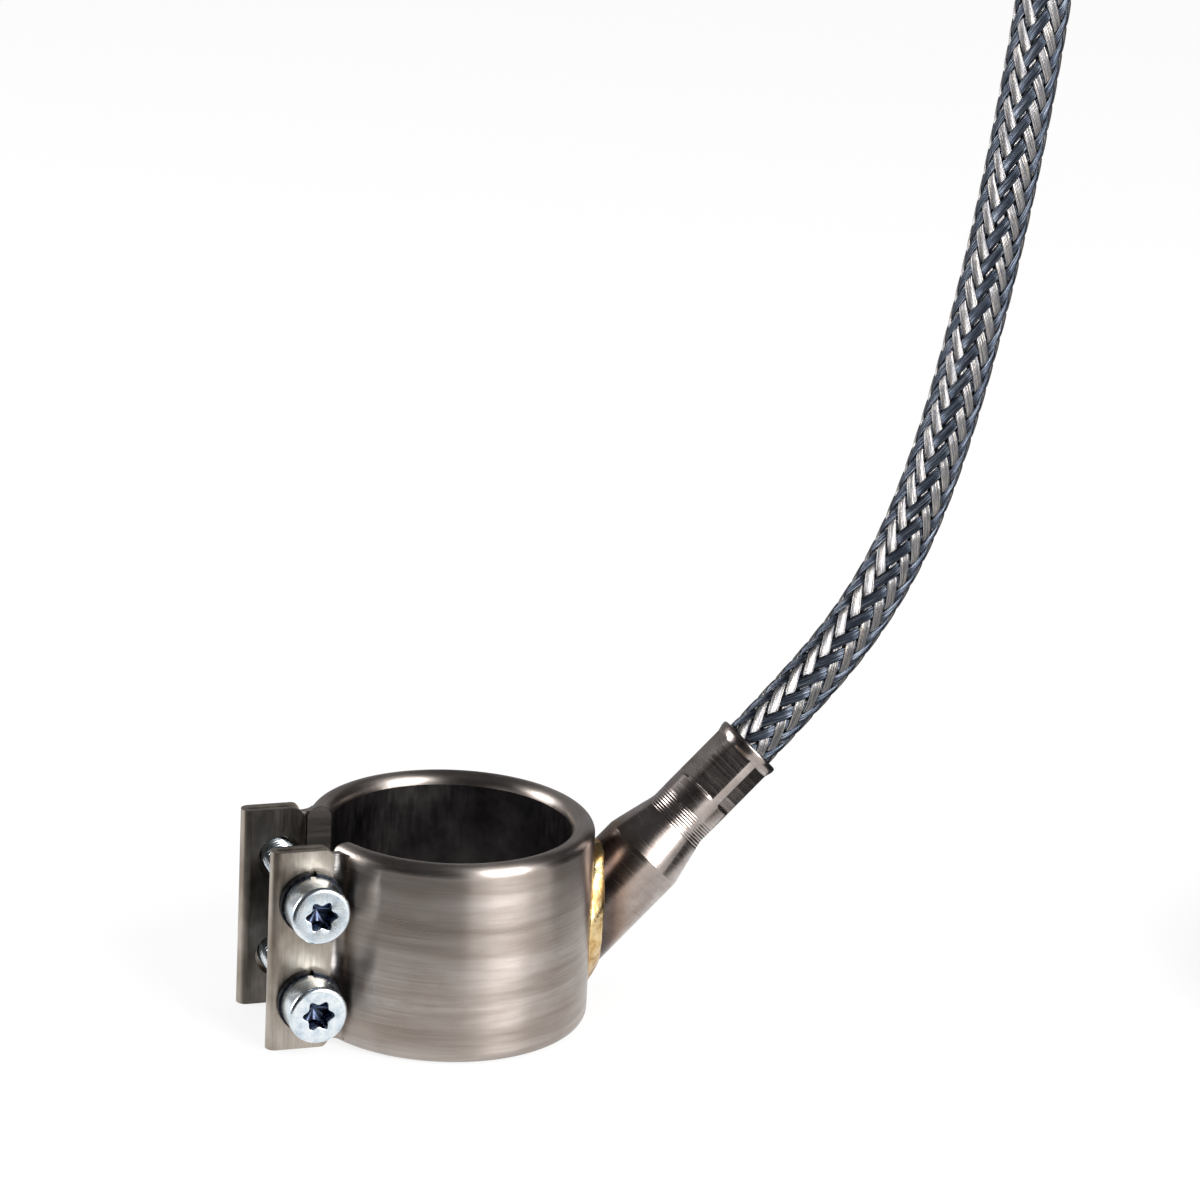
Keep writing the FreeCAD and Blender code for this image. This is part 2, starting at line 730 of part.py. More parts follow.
def outlet_joints():
    """Inside the outlet: nickel wires up from the ribbon, crimped to the lead's cores."""
    terminal_end = s.terminal_start + s.terminal_length
    for core in ("live", "neutral"):
        rise, side = core_place(core)
        wire = outlet_cylinder(core + "_wire_rod", s.wire_diameter / 2, -2 * s.wall_thickness,
                               s.terminal_start, rise, side)
        bed = cylinder(core + "_wire_bed", ribbon_outer + 2 * s.layer_play, 2 * s.band_width,
                       (0, 0, -s.band_width))
        node(cut(core + "_wire", wire, bed), core + "_wire")
        node(outlet_cylinder(core + "_terminal", s.terminal_diameter / 2, s.terminal_start,
                             terminal_end, rise, side), core + "_terminal")
        node(outlet_cylinder(core + "_conductor", s.core_diameter / 2, terminal_end, s.lead_stop,
                             rise, side), core + "_conductor")
    rise, side = core_place("earth")
    earth = outlet_cylinder("earth_core", s.core_diameter / 2, terminal_end, s.lead_stop, rise, side)
    node(earth, "earth_conductor")
    hollow = s.barrel_diameter / 2 - s.barrel_wall
    landing = hollow - 1.2 * s.wire_diameter
    start = [as_size(value).value for value in outlet_point(terminal_end, rise, side)]
    stop = [as_size(value).value for value in outlet_point(landing - s.wire_diameter, landing, side)]
    run = Vector(*stop) - Vector(*start)
    tail = cylinder("earth_tail_rod", s.wire_diameter / 2, run.Length,
                    outlet_point(terminal_end, rise, side))
    tail.Placement = Placement(tail.Placement.Base, Rotation(Vector(0, 0, 1), run))
    bed = cylinder("earth_tail_bed", outer_radius + s.seam_play, 2 * s.band_width, (0, 0, -s.band_width))
    node(cut("earth_tail", tail, fuse("earth_tail_ends", [bed, earth])), "earth_tail")
    tube = outlet_cylinder("liner_outside", hollow - s.seam_play, s.barrel_length - s.outlet_liner_length,
                           s.barrel_length)
    space = outlet_cylinder("liner_inside", hollow - s.seam_play - s.outlet_liner_thickness,
                            s.barrel_length - s.outlet_liner_length, s.barrel_length)
    node(cut("outlet_liner", tube, space), "outlet_liner")


outlet_sleeve()
braze_fillet()
outlet_joints()


# ---- the lead ----------------------------------------------------------------------------------

def lead_route():
    """The lead's corners, from its stop in the outlet, over in one bow and down to the coil."""
    start = Vector(*[as_size(value).value for value in outlet_point(s.lead_stop)])
    straight = Vector(*[as_size(value).value for value in outlet_point(2.12 * s.lead_stop)])
    return [start, straight,
            Vector(63.5, 0, 44.0), Vector(71.0, 0, 61.5), Vector(77.0, 0, 88.0),
            Vector(81.5, 0, 118.0), Vector(84.0, 0, 146.0),
            Vector(102.7, 4.6, 169.0), Vector(130.9, 11.5, 176.7), Vector(158.2, 18.2, 166.5),
            Vector(175.0, 22.3, 141.9), Vector(173.8, 23.3, 85.0), Vector(175.0, 22.3, 40.5),
            Vector(181.3, 12.3, 20.1), Vector(192.2, -4.9, 8.3), Vector(204.8, -24.9, 8.3)]


def bent_path(corners):
    """Straight runs joined by arcs that touch them, each as large as its two runs allow."""
    edges = []
    here = corners[0]
    for before, corner, after in zip(corners, corners[1:], corners[2:]):
        arriving, leaving = (corner - before).normalize(), (after - corner).normalize()
        turn = arriving.getAngle(leaving)
        back_off = 0.45 * min((corner - before).Length, (after - corner).Length)
        entry, exit_ = corner - arriving * back_off, corner + leaving * back_off
        inward = (leaving - arriving).normalize()
        radius = back_off / math.tan(turn / 2)
        middle = corner + inward * radius * (1 / math.cos(turn / 2) - 1)
        print(f"lead: turn {math.degrees(turn):5.1f} deg, radius {radius:7.1f} mm")
        edges.append(Part.LineSegment(here, entry).toShape())
        edges.append(Part.Arc(entry, middle, exit_).toShape())
        here = exit_
    edges.append(Part.LineSegment(here, corners[-1]).toShape())
    return Part.Wire(edges)


def round_tube(label, path, diameter):
    """A round solid swept along a path."""
    first = path.Edges[0]
    heading = first.tangentAt(first.FirstParameter)
    ring = Part.Wire(Part.makeCircle(diameter / 2, path.Edges[0].Vertexes[0].Point, heading))
    item = document.addObject("Part::Feature", label)
    item.Shape = path.makePipeShell([ring], True, False)
    section = math.pi * diameter * diameter / 4
    print(f"{label}: length {path.Length:.1f} mm, volume {item.Shape.Volume:.0f}"
          f" against {section * path.Length:.0f} mm3")
    return item


def rod(label, diameter, length, start, heading):
    """A straight round piece from a point along a heading."""
    item = cylinder(label, diameter / 2, length, start)
    item.Placement = Placement(item.Placement.Base, Rotation(Vector(0, 0, 1), heading))
    return item


def lead_and_coil():
    node(round_tube("braided_lead", bent_path(lead_route()), s.lead_diameter.value), "braided_lead")
    ring = cut("coil_ring",
               cylinder("coil_outside", s.coil_diameter / 2 + lead_radius, s.coil_height),
               cylinder("coil_inside", s.coil_diameter / 2 - lead_radius, s.coil_height))
    node(place(ring, s.coil_x, s.coil_y, -half_width), "lead_coil")


def lead_end():
    """The far end: a crimped sleeve and three cores with ferrules, lying beside the coil."""
    y = s.coil_y - s.coil_diameter / 2
    z = s.rest_clearance + s.end_sleeve_diameter / 2 - half_width
    mouth = s.coil_x - s.tail_length
    sleeve_end = mouth - s.end_sleeve_length
    back = Vector(-1, 0, 0)
    node(rod("tail", s.lead_diameter, s.tail_length, (s.coil_x, y, z), back), "lead_tail")
    sleeve = rod("end_sleeve", s.end_sleeve_diameter, s.end_sleeve_length, (mouth, y, z), back)
    node(sleeve, "lead_end_sleeve")
    for core, turn in CORE_PLACES.items():
        aside, rise = math.cos(math.radians(turn)), math.sin(math.radians(turn))
        heading = Vector(-1, -CORE_FLARE * aside, CORE_FLARE * (rise - 1) / 3).normalize()

        def along(distance):
            """A point on the core's axis, at a distance from the sleeve's end."""
            return (sleeve_end + distance * heading.x, y - s.core_offset * aside + distance * heading.y,
                    z + s.core_offset * rise + distance * heading.z)

        bare = s.end_core_length - s.core_diameter
        whole = rod(core + "_whole", s.core_diameter, s.end_core_length, along(-s.core_diameter), heading)
        node(cut(core + "_end", whole, sleeve), core + "_end")
        node(rod(core + "_ferrule", s.ferrule_diameter, s.ferrule_length, along(bare), heading),
             core + "_ferrule")


lead_and_coil()
lead_end()


# ---- check and write ---------------------------------------------------------------------------

document.recompute()
for item in document.Objects:
    problems = [state for state in item.State if state in ("Invalid", "Error")]
    if problems:
        raise RuntimeError(f"{item.Name} ({item.Label}) failed: {problems}")
os.makedirs("parts", exist_ok=True)
for item in nodes:
    if item.Shape.isNull() or not item.Shape.isValid():
        raise RuntimeError(f"{item.Label} has no valid shape")
    print(f"{item.Label}: {len(item.Shape.Solids)} solid, {item.Shape.Volume:.1f} mm3")
for item in nodes:
    item.Shape.exportStep(f"parts/{item.Label}.step")
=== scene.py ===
"""Nozzle band heater: a sealed, split stainless ring with a brazed outlet and a braided lead."""
import json
import math

import bpy
import numpy as np
from mathutils import Matrix, Vector

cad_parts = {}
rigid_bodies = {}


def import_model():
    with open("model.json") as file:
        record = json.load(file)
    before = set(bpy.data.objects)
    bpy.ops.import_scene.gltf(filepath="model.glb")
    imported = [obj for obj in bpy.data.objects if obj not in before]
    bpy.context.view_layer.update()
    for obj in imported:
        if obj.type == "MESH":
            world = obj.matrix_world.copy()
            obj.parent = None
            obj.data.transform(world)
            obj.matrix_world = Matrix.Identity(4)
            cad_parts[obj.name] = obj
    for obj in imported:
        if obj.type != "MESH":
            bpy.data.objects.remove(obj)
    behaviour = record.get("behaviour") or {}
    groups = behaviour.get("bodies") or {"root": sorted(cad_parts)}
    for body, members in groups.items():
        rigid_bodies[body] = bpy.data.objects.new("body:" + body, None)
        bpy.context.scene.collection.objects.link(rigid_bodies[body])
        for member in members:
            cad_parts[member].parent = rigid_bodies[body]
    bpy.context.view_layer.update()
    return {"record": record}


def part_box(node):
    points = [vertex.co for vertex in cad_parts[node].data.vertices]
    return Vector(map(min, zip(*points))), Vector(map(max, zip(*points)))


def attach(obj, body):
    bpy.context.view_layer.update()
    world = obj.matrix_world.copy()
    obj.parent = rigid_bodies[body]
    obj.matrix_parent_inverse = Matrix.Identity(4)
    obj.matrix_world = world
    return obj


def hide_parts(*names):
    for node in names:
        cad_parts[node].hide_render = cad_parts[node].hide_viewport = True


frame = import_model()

MM = 0.001
FLOOR_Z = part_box("outer_jacket")[0][2]


# ---- small helpers -----------------------------------------------------------------------------

def mesh_piece(name, points, faces, body, replaced=()):
    """A new mesh object that rides on a body and stands for nodes."""
    data = bpy.data.meshes.new(name)
    data.from_pydata([tuple(point) for point in points], [], faces)
    data.polygons.foreach_set("use_smooth", [True] * len(data.polygons))
    data.validate()
    piece = bpy.data.objects.new(name, data)
    bpy.context.scene.collection.objects.link(piece)
    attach(piece, body)
    if replaced:
        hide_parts(*replaced)
    return piece


def grid_faces(rows, columns, close_rows=False):
    """Quads between neighbouring rows of points, where every row is a closed loop."""
    faces = []
    for row in range(rows if close_rows else rows - 1):
        here, there = row * columns, (row + 1) % rows * columns
        for column in range(columns):
            beside = (column + 1) % columns
            faces.append((here + column, here + beside, there + beside, there + column))
    return faces


def smoothstep(value):
    """An even S-shaped rise from 0 to 1."""
    value = np.clip(value, 0, 1)
    return value * value * (3 - 2 * value)


# ---- the outlet's own frame --------------------------------------------------------------------

TILT = math.radians(45)
RING_RADIUS = 20.8 * MM
OUTLET_DROP = 1.7 * MM


def outlet_point(distance, rise=0.0, side=0.0):
    """A point in the outlet's own frame: along its axis, across it upwards, and across it in Y."""
    return Vector((RING_RADIUS + math.sin(TILT) * distance - math.cos(TILT) * rise, side,
                   math.cos(TILT) * distance + math.sin(TILT) * rise - OUTLET_DROP))


OUTLET_FRAME = Matrix.Translation(outlet_point(0)) @ Matrix.Rotation(TILT, 4, "Y")


def ring_meeting(rise, side, radius=RING_RADIUS):
    """How far along the outlet a line beside its axis comes out of the ring."""
    return (math.sqrt(radius ** 2 - side ** 2) - RING_RADIUS + math.cos(TILT) * rise) / math.sin(TILT)


# ---- the lead ----------------------------------------------------------------------------------

LEAD_STOP = 20.5 * MM
STRAIGHT_END = 2.12 * LEAD_STOP
SHEATH_RADIUS = 3.5 * MM
LINE_STEP = 0.4 * MM

COIL_MIDDLE = Vector((164.7, -36.3, 0)) * MM
COIL_RADIUS = 40 * MM
COIL_TOP = 8.3 * MM
COIL_BOTTOM = -10.6 * MM
COIL_START = math.radians(25)
COIL_SWEEP = math.radians(835)
POINTS_PER_TURN = 24


# where the lead's free run and its tail turn, in millimetres
FREE_CORNERS = (
    (63.5, 0, 44.0), (71.0, 0, 61.5), (77.0, 0, 88.0), (81.5, 0, 118.0), (84.0, 0, 146.0),
    (102.7, 4.6, 169.0), (130.9, 11.5, 176.7), (158.2, 18.2, 166.5), (175.0, 22.3, 141.9),
    (173.8, 23.3, 85.0), (175.0, 22.3, 40.5), (181.3, 12.3, 20.1), (192.2, -4.9, 8.3))
TAIL_CORNERS = ((154, -76.3, -10.3), (136.7, -76.3, -10.3))


def lead_route():
    """The corners of the lead: out of the sleeve, over in one bow, down and round the coil."""
    free = [outlet_point(LEAD_STOP), outlet_point(STRAIGHT_END)]
    free += [Vector(corner) * MM for corner in FREE_CORNERS]
    count = math.ceil(COIL_SWEEP / math.tau * POINTS_PER_TURN)
    corner_radius = COIL_RADIUS / math.cos(math.pi / POINTS_PER_TURN)
    coil = []
    for number in range(count + 1):
        share = number / count
        angle = COIL_START - share * COIL_SWEEP
        height = COIL_TOP + share * (COIL_BOTTOM - COIL_TOP)
        coil.append(COIL_MIDDLE + Vector((corner_radius * math.cos(angle),
                                          corner_radius * math.sin(angle), height)))
    tail = [Vector(corner) * MM for corner in TAIL_CORNERS]
    return free + coil + tail


def lead_curve():
    """The lead's inner sheath, and the smooth line that everything on the lead follows."""
    data = bpy.data.curves.new("lead_sheath", "CURVE")
    data.dimensions = "3D"
    data.resolution_u = 16
    spline = data.splines.new("NURBS")
    route = lead_route()
    spline.points.add(len(route) - 1)
    for place, corner in zip(spline.points, route):
        place.co = (*corner, 1)
        place.radius = SHEATH_RADIUS
    spline.order_u = 3
    spline.use_endpoint_u = True
    sheath = bpy.data.objects.new("lead_sheath", data)
    bpy.context.scene.collection.objects.link(sheath)
    bpy.context.view_layer.update()
    line = bpy.data.meshes.new_from_object(sheath.evaluated_get(bpy.context.evaluated_depsgraph_get()))
    points = np.array([vertex.co[:] for vertex in line.vertices])
    data.bevel_depth = 1
    data.bevel_resolution = 4
    data.use_fill_caps = True
    return sheath, points


class Line:
    """A smooth line with a frame that doesn't twist, which can be asked for at any length."""

    def __init__(self, points):
        steps = np.linalg.norm(np.diff(points, axis=0), axis=1)
        self.length = steps.sum()
        reached = np.concatenate([[0], np.cumsum(steps)])
        self.stops = np.linspace(0, self.length, int(self.length / LINE_STEP))
        self.places = np.stack([np.interp(self.stops, reached, points[:, axis]) for axis in range(3)], 1)
        tangents = np.gradient(self.places, axis=0)
        self.tangents = tangents / np.linalg.norm(tangents, axis=1)[:, None]
        across = np.array([0.0, 1.0, 0.0])
        firsts = []
        for tangent in self.tangents:
            across = across - tangent * across.dot(tangent)
            across = across / np.linalg.norm(across)
            firsts.append(across)
        self.firsts = np.array(firsts)

    def at(self, stops, angles, radii):
        """Points round the line: at these lengths, at these angles and this far out."""
        place, tangent, first = (
            np.stack([np.interp(stops, self.stops, values[:, axis]) for axis in range(3)], -1)
            for values in (self.places, self.tangents, self.firsts))
        second = np.cross(tangent, first)
        return place + radii[..., None] * (np.cos(angles)[..., None] * first
                                           + np.sin(angles)[..., None] * second)


BRAID_LAY = 45.6 * MM
CARRIERS = 12
CROSSINGS_PER_WAVE = 4    # a ribbon goes over two and under two
RIBBON_WIDTH = 1.50 * MM
WIRES_PER_RIBBON = 8
RIBBON_LOW = 3.56 * MM
RIBBON_HIGH = 3.84 * MM
RIBBON_CROWN = 0.15 * MM
CARRIER_DRIFT = 0.018    # radians round the lead, from one carrier to the next
WIDTH_SPREAD = 0.05
LIFT_SPREAD = 0.06
CROSSING_STEEPNESS = 1.6
BRAID_PHASE = math.radians(27)
BRAID_START = 1.0 * MM
FINE_END = 235 * MM
FINE_STEP = 0.45 * MM
PLAIN_STEP = 0.95 * MM

# the ribbon's section: how far across in half widths, and how far out in crowns
FINE_SECTION = ((-1, 0.15), (-0.62, 0.80), (0, 1.0), (0.62, 0.80), (1, 0.15), (0.9, -0.6), (-0.9, -0.6))
PLAIN_SECTION = ((-1, 0), (-0.4, 1.0), (0.4, 1.0), (1, 0))


def braid(name, line, hand, start, end, step, section):
    """One hand of the braid: twelve flat ribbons of wires, each going over two and under two."""
    noise = np.random.default_rng(7 + (hand > 0))
    stops = np.arange(start, end, step)
    across = np.array([share for share, _ in section])[None, :]
    out = np.array([share for _, share in section])[None, :]
    middle = (RIBBON_LOW + RIBBON_HIGH) / 2
    slope = math.atan(math.tau * middle / BRAID_LAY)
    points, faces, chart = [], [], []
    for number in range(CARRIERS):
        crossing = 2 * number + hand * 2 * CARRIERS * stops / BRAID_LAY
        wave = np.cos(math.tau * (crossing - 0.5) / CROSSINGS_PER_WAVE)
        lift = hand * np.clip(CROSSING_STEEPNESS * wave, -1, 1) * (
            1 - LIFT_SPREAD + LIFT_SPREAD * noise.random())
        radius = middle + (RIBBON_HIGH - RIBBON_LOW) / 2 * np.sin(lift * math.pi / 2)
        drift = noise.normal(0, CARRIER_DRIFT)
        angle = BRAID_PHASE + hand * math.tau * stops / BRAID_LAY + math.tau * number / CARRIERS + drift
        half_width = RIBBON_WIDTH / 2 * (1 + WIDTH_SPREAD * noise.normal())
        sideways = half_width * across
        rows = line.at(stops[:, None] - hand * math.sin(slope) * sideways,
                       angle[:, None] + math.cos(slope) * sideways / middle,
                       radius[:, None] + RIBBON_CROWN * out)
        base = len(points) * rows.shape[0] * rows.shape[1]
        columns = len(section)
        points.append(rows.reshape(-1, 3))
        loops = grid_faces(len(stops), columns)
        faces += [tuple(base + corner for corner in face) for face in loops]
        faces.append(tuple(base + corner for corner in range(columns))[::-1])
        faces.append(tuple(base + (len(stops) - 1) * columns + corner for corner in range(columns)))
        wide, along = np.broadcast_arrays(across, stops[:, None])
        chart.append(np.stack([(wide + 1) / 2 + 2 * number, along], -1).reshape(-1, 2))
    piece = mesh_piece(name, np.concatenate(points), faces, "heater")
    chart = np.concatenate(chart)
    layer = piece.data.uv_layers.new(name="ribbon")
    corners = np.empty(len(piece.data.loops), dtype=int)
    piece.data.loops.foreach_get("vertex_index", corners)
    layer.data.foreach_set("uv", chart[corners].ravel())
    return piece


sheath, lead_points = lead_curve()
lead_line = Line(lead_points)
braids = [braid(f"braid_{hand_name}_{stretch}", lead_line, hand, start, end, step, section)
          for hand_name, hand in (("right_lay", 1), ("left_lay", -1))
          for stretch, start, end, step, section in (
              ("near", BRAID_START, FINE_END, FINE_STEP, FINE_SECTION),
              ("coil", FINE_END - FINE_STEP, lead_line.length - BRAID_START, PLAIN_STEP, PLAIN_SECTION))]
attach(sheath, "heater")
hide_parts("braided_lead", "lead_coil", "lead_tail")


# ---- the outlet sleeve and its braze -----------------------------------------------------------

BARREL_RADIUS = 6.5 * MM
BARREL_LENGTH = 12.4 * MM
SHOULDER_LENGTH = 7.2 * MM
NECK_RADIUS = 4.8 * MM
NECK_LENGTH = 5.3 * MM
CRIMP_LENGTH = 8.5 * MM
CRIMP_HALF_WIDTH = 4.45 * MM
MOUTH_LENGTH = 1.4 * MM
MOUTH_FLARE = 0.3 * MM
FLARE_BEFORE = 0.6 * MM
MOUTH_INSIDE = 4.05 * MM
LIP_RADIUS = 0.3 * MM
LIP_DEPTH = 4 * MM
CONE_BOW = 0.12
CHATTER_BEFORE = 1.6 * MM      # the chatter starts this far before the cone's end
CHATTER_RISE = 0.6 * MM
CHATTER_AFTER = 2.6 * MM
CHATTER_FALL = 0.8 * MM
CHATTER_STEP = 0.42 * MM
CHATTER_DEPTH = 0.028 * MM
PRESS_EDGE = 0.5 * MM
PRESS_STEP = 2.1 * MM
PRESS_RIDGE = 0.014 * MM
SLEEVE_SIDES = 144
BARREL_ROWS = 10
SLEEVE_STEP = 0.1 * MM
SLEEVE_OVERLAP = 0.3 * MM
EDGE_BEFORE = 0.05 * MM
EDGE_AFTER = 0.06 * MM
LIP_ROWS = 9
SLEEVE_CREASE = math.radians(11)


def hexagon(angles, half_width, corner):
    """How far out a six-sided press mark lies, its corners left round by the sleeve."""
    turn = (angles + math.pi / 6) % (math.pi / 3) - math.pi / 6
    return np.minimum(half_width / np.cos(turn), corner)


def sleeve_radius(distance, angles):
    """The turned outline: barrel, sharp edge, cone, neck with chatter rings, press mark, mouth."""
    cone_end = BARREL_LENGTH + SHOULDER_LENGTH
    neck_end = cone_end + NECK_LENGTH
    crimp_end = neck_end + CRIMP_LENGTH
    fall = (distance - BARREL_LENGTH) / SHOULDER_LENGTH
    bowed = (1 - CONE_BOW) * fall + CONE_BOW * smoothstep(fall)
    radius = BARREL_RADIUS + (NECK_RADIUS - BARREL_RADIUS) * min(max(bowed, 0), 1)
    chatter = smoothstep((distance - cone_end + CHATTER_BEFORE) / CHATTER_RISE) * smoothstep(
        (cone_end + CHATTER_AFTER - distance) / CHATTER_FALL)
    radius -= CHATTER_DEPTH * chatter * (1 + math.cos(math.tau * distance / CHATTER_STEP))
    press = smoothstep((distance - neck_end) / PRESS_EDGE) * smoothstep((crimp_end - distance) / PRESS_EDGE)
    ridge = PRESS_RIDGE * math.cos(math.pi * (distance - neck_end) / PRESS_STEP) ** 10
    pressed = hexagon(angles, CRIMP_HALF_WIDTH + ridge, radius)
    flare = MOUTH_FLARE * smoothstep((distance - crimp_end + FLARE_BEFORE) / MOUTH_LENGTH)
    return (1 - press) * radius + press * pressed + flare


def outlet_sleeve():
    """The sleeve from the ring's face to its mouth, with the rolled lip turned in."""
    angles = np.linspace(0, math.tau, SLEEVE_SIDES, endpoint=False)
    top = BARREL_LENGTH + SHOULDER_LENGTH + NECK_LENGTH + CRIMP_LENGTH + MOUTH_LENGTH
    lip_middle = top - LIP_RADIUS
    rows = []
    for share in np.linspace(0, 1, BARREL_ROWS):
        row = []
        for angle in angles:
            rise, side = BARREL_RADIUS * math.cos(angle), BARREL_RADIUS * math.sin(angle)
            start = ring_meeting(rise, side, RING_RADIUS - SLEEVE_OVERLAP)
            row.append(outlet_point(start + share * (BARREL_LENGTH - EDGE_BEFORE - start), rise, side))
        rows.append(row)
    lengths = np.concatenate([[BARREL_LENGTH],
                              np.arange(BARREL_LENGTH + EDGE_AFTER, lip_middle, SLEEVE_STEP)])
    for distance in lengths:
        radius = sleeve_radius(distance, angles)
        rows.append([outlet_point(distance, out * math.cos(angle), out * math.sin(angle))
                     for out, angle in zip(radius, angles)])
    outside = sleeve_radius(lip_middle, angles)
    for turn in np.linspace(0, math.pi, LIP_ROWS)[1:]:
        middle, half = (outside + MOUTH_INSIDE) / 2, (outside - MOUTH_INSIDE) / 2
        radius = middle + half * math.cos(turn)
        rows.append([outlet_point(lip_middle + LIP_RADIUS * math.sin(turn), out * math.cos(angle),
                                  out * math.sin(angle)) for out, angle in zip(radius, angles)])
    rows.append([outlet_point(lip_middle - LIP_DEPTH, MOUTH_INSIDE * math.cos(angle),
                              MOUTH_INSIDE * math.sin(angle)) for angle in angles])
    points = [point for row in rows for point in row]
    faces = grid_faces(len(rows), SLEEVE_SIDES)
    sleeve = mesh_piece("sleeve_turned", points, faces, "heater", ["outlet_sleeve"])
    sleeve.data.transform(OUTLET_FRAME.inverted())
    sleeve.matrix_world = OUTLET_FRAME
    sleeve.data.set_sharp_from_angle(angle=SLEEVE_CREASE)
    return sleeve


BEAD_ROUND = 240
BEAD_SIDES = 18
ON_RING = (1.5 * MM, 0.13 * MM)       # how far the braze runs, and how much that swells and shrinks
ON_SLEEVE = (2.9 * MM, 0.20 * MM)
BEAD_CROWN = (0.10 * MM, 0.06 * MM)
BEAD_SUNK = 0.14 * MM
BEAD_ROOT = (0.5 * MM, 0.3 * MM)      # how far the bead's root lies into the ring and back
SWELL_COUNTS = (2, 3, 5, 8, 13, 21)


def braze_bead():
    """The run of braze metal in the corner between ring and sleeve, uneven as it froze."""
    waves = np.random.default_rng(3)
    swells = [(count, waves.uniform(0, math.tau), waves.uniform(0.4, 1) / count ** 0.5)
              for count in SWELL_COUNTS]
    rows = []
    for number in range(BEAD_ROUND):
        angle = math.tau * number / BEAD_ROUND
        swell = sum(height * math.cos(count * angle + phase) for count, phase, height in swells)
        rise, side = BARREL_RADIUS * math.cos(angle), BARREL_RADIUS * math.sin(angle)
        corner = outlet_point(ring_meeting(rise, side), rise, side)
        outward = (outlet_point(0, math.cos(angle), math.sin(angle)) - outlet_point(0)).normalized()
        along = (outlet_point(1) - outlet_point(0)).normalized()
        radial = Vector((corner.x, corner.y, 0)).normalized()
        spread = (outward - radial * outward.dot(radial)).normalized()
        on_ring = corner + spread * (ON_RING[0] + ON_RING[1] * swell)
        on_sleeve = corner + along * (ON_SLEEVE[0] + ON_SLEEVE[1] * swell)
        row = []
        for share in np.linspace(0, 1, BEAD_SIDES):
            chord = on_ring.lerp(on_sleeve, share)
            swollen = math.sin(math.pi * share) * (BEAD_CROWN[0] + BEAD_CROWN[1] * swell)
            inward = (corner - (on_ring + on_sleeve) / 2).normalized()
            buried = BEAD_SUNK * (1 - math.sin(math.pi * share)) ** 3
            row.append(chord + inward * (buried - swollen))
        row.append(corner - radial * BEAD_ROOT[0] - along * BEAD_ROOT[1])
        rows.append(row)
    points = [point for row in rows for point in row]
    return mesh_piece("braze_bead", points, grid_faces(BEAD_ROUND, BEAD_SIDES + 1, close_rows=True),
                      "heater", ["braze_fillet"])


sleeve = outlet_sleeve()
bead = braze_bead()


# ---- the clamp screws --------------------------------------------------------------------------

SCREW_X = -23.364 * MM
SCREW_LEVEL = 7.5 * MM
SCREW_SIDES = 96
THREAD_PITCH = 0.8 * MM
THREAD_DEPTH = 0.42 * MM
THREAD_FLAT = 0.12         # the crest's and the root's flats, as a share of half the pitch
THREAD_ROWS = 10
SHANK_RADIUS = 2.5 * MM
THREAD_END = 3 * MM        # how far from the seat the thread stops
SHOULDER = 2.8 * MM
POINT_LENGTH = 0.7 * MM
POINT_CUT = 0.5 * MM
HEAD_RADIUS = 4.25 * MM
SEAT_EDGE = 0.25 * MM
CROWN_EDGE = 0.6 * MM
FACE_RADIUS = 3.1 * MM
RECESS_LIP = 0.18 * MM
FACE_DIP = 0.02 * MM
RECESS_REACH = 2.25 * MM
RECESS_ROOT = 1.625 * MM
RECESS_DEPTH = 2.8 * MM
RECESS_FLOOR = ((0.9, 0.995), (0.98, 0.97), (1.0, 0.9), (1.12, 0.4), (1.16, 0.01))   # depth, size
LOBE_PINCH = 0.18
TIP_HOLE = 0.01 * MM
EDGE_ROWS = 5
CROWN_ROWS = 9
SCREW_CREASE = math.radians(40)


def lobes(angles, share=1.0):
    """The six-lobe outline of the driver recess, share of its full size."""
    middle, swing = (RECESS_REACH + RECESS_ROOT) / 2, (RECESS_REACH - RECESS_ROOT) / 2
    wave = np.cos(6 * angles)
    return share * (middle + swing * (wave + LOBE_PINCH * (wave ** 2 - 0.5)))


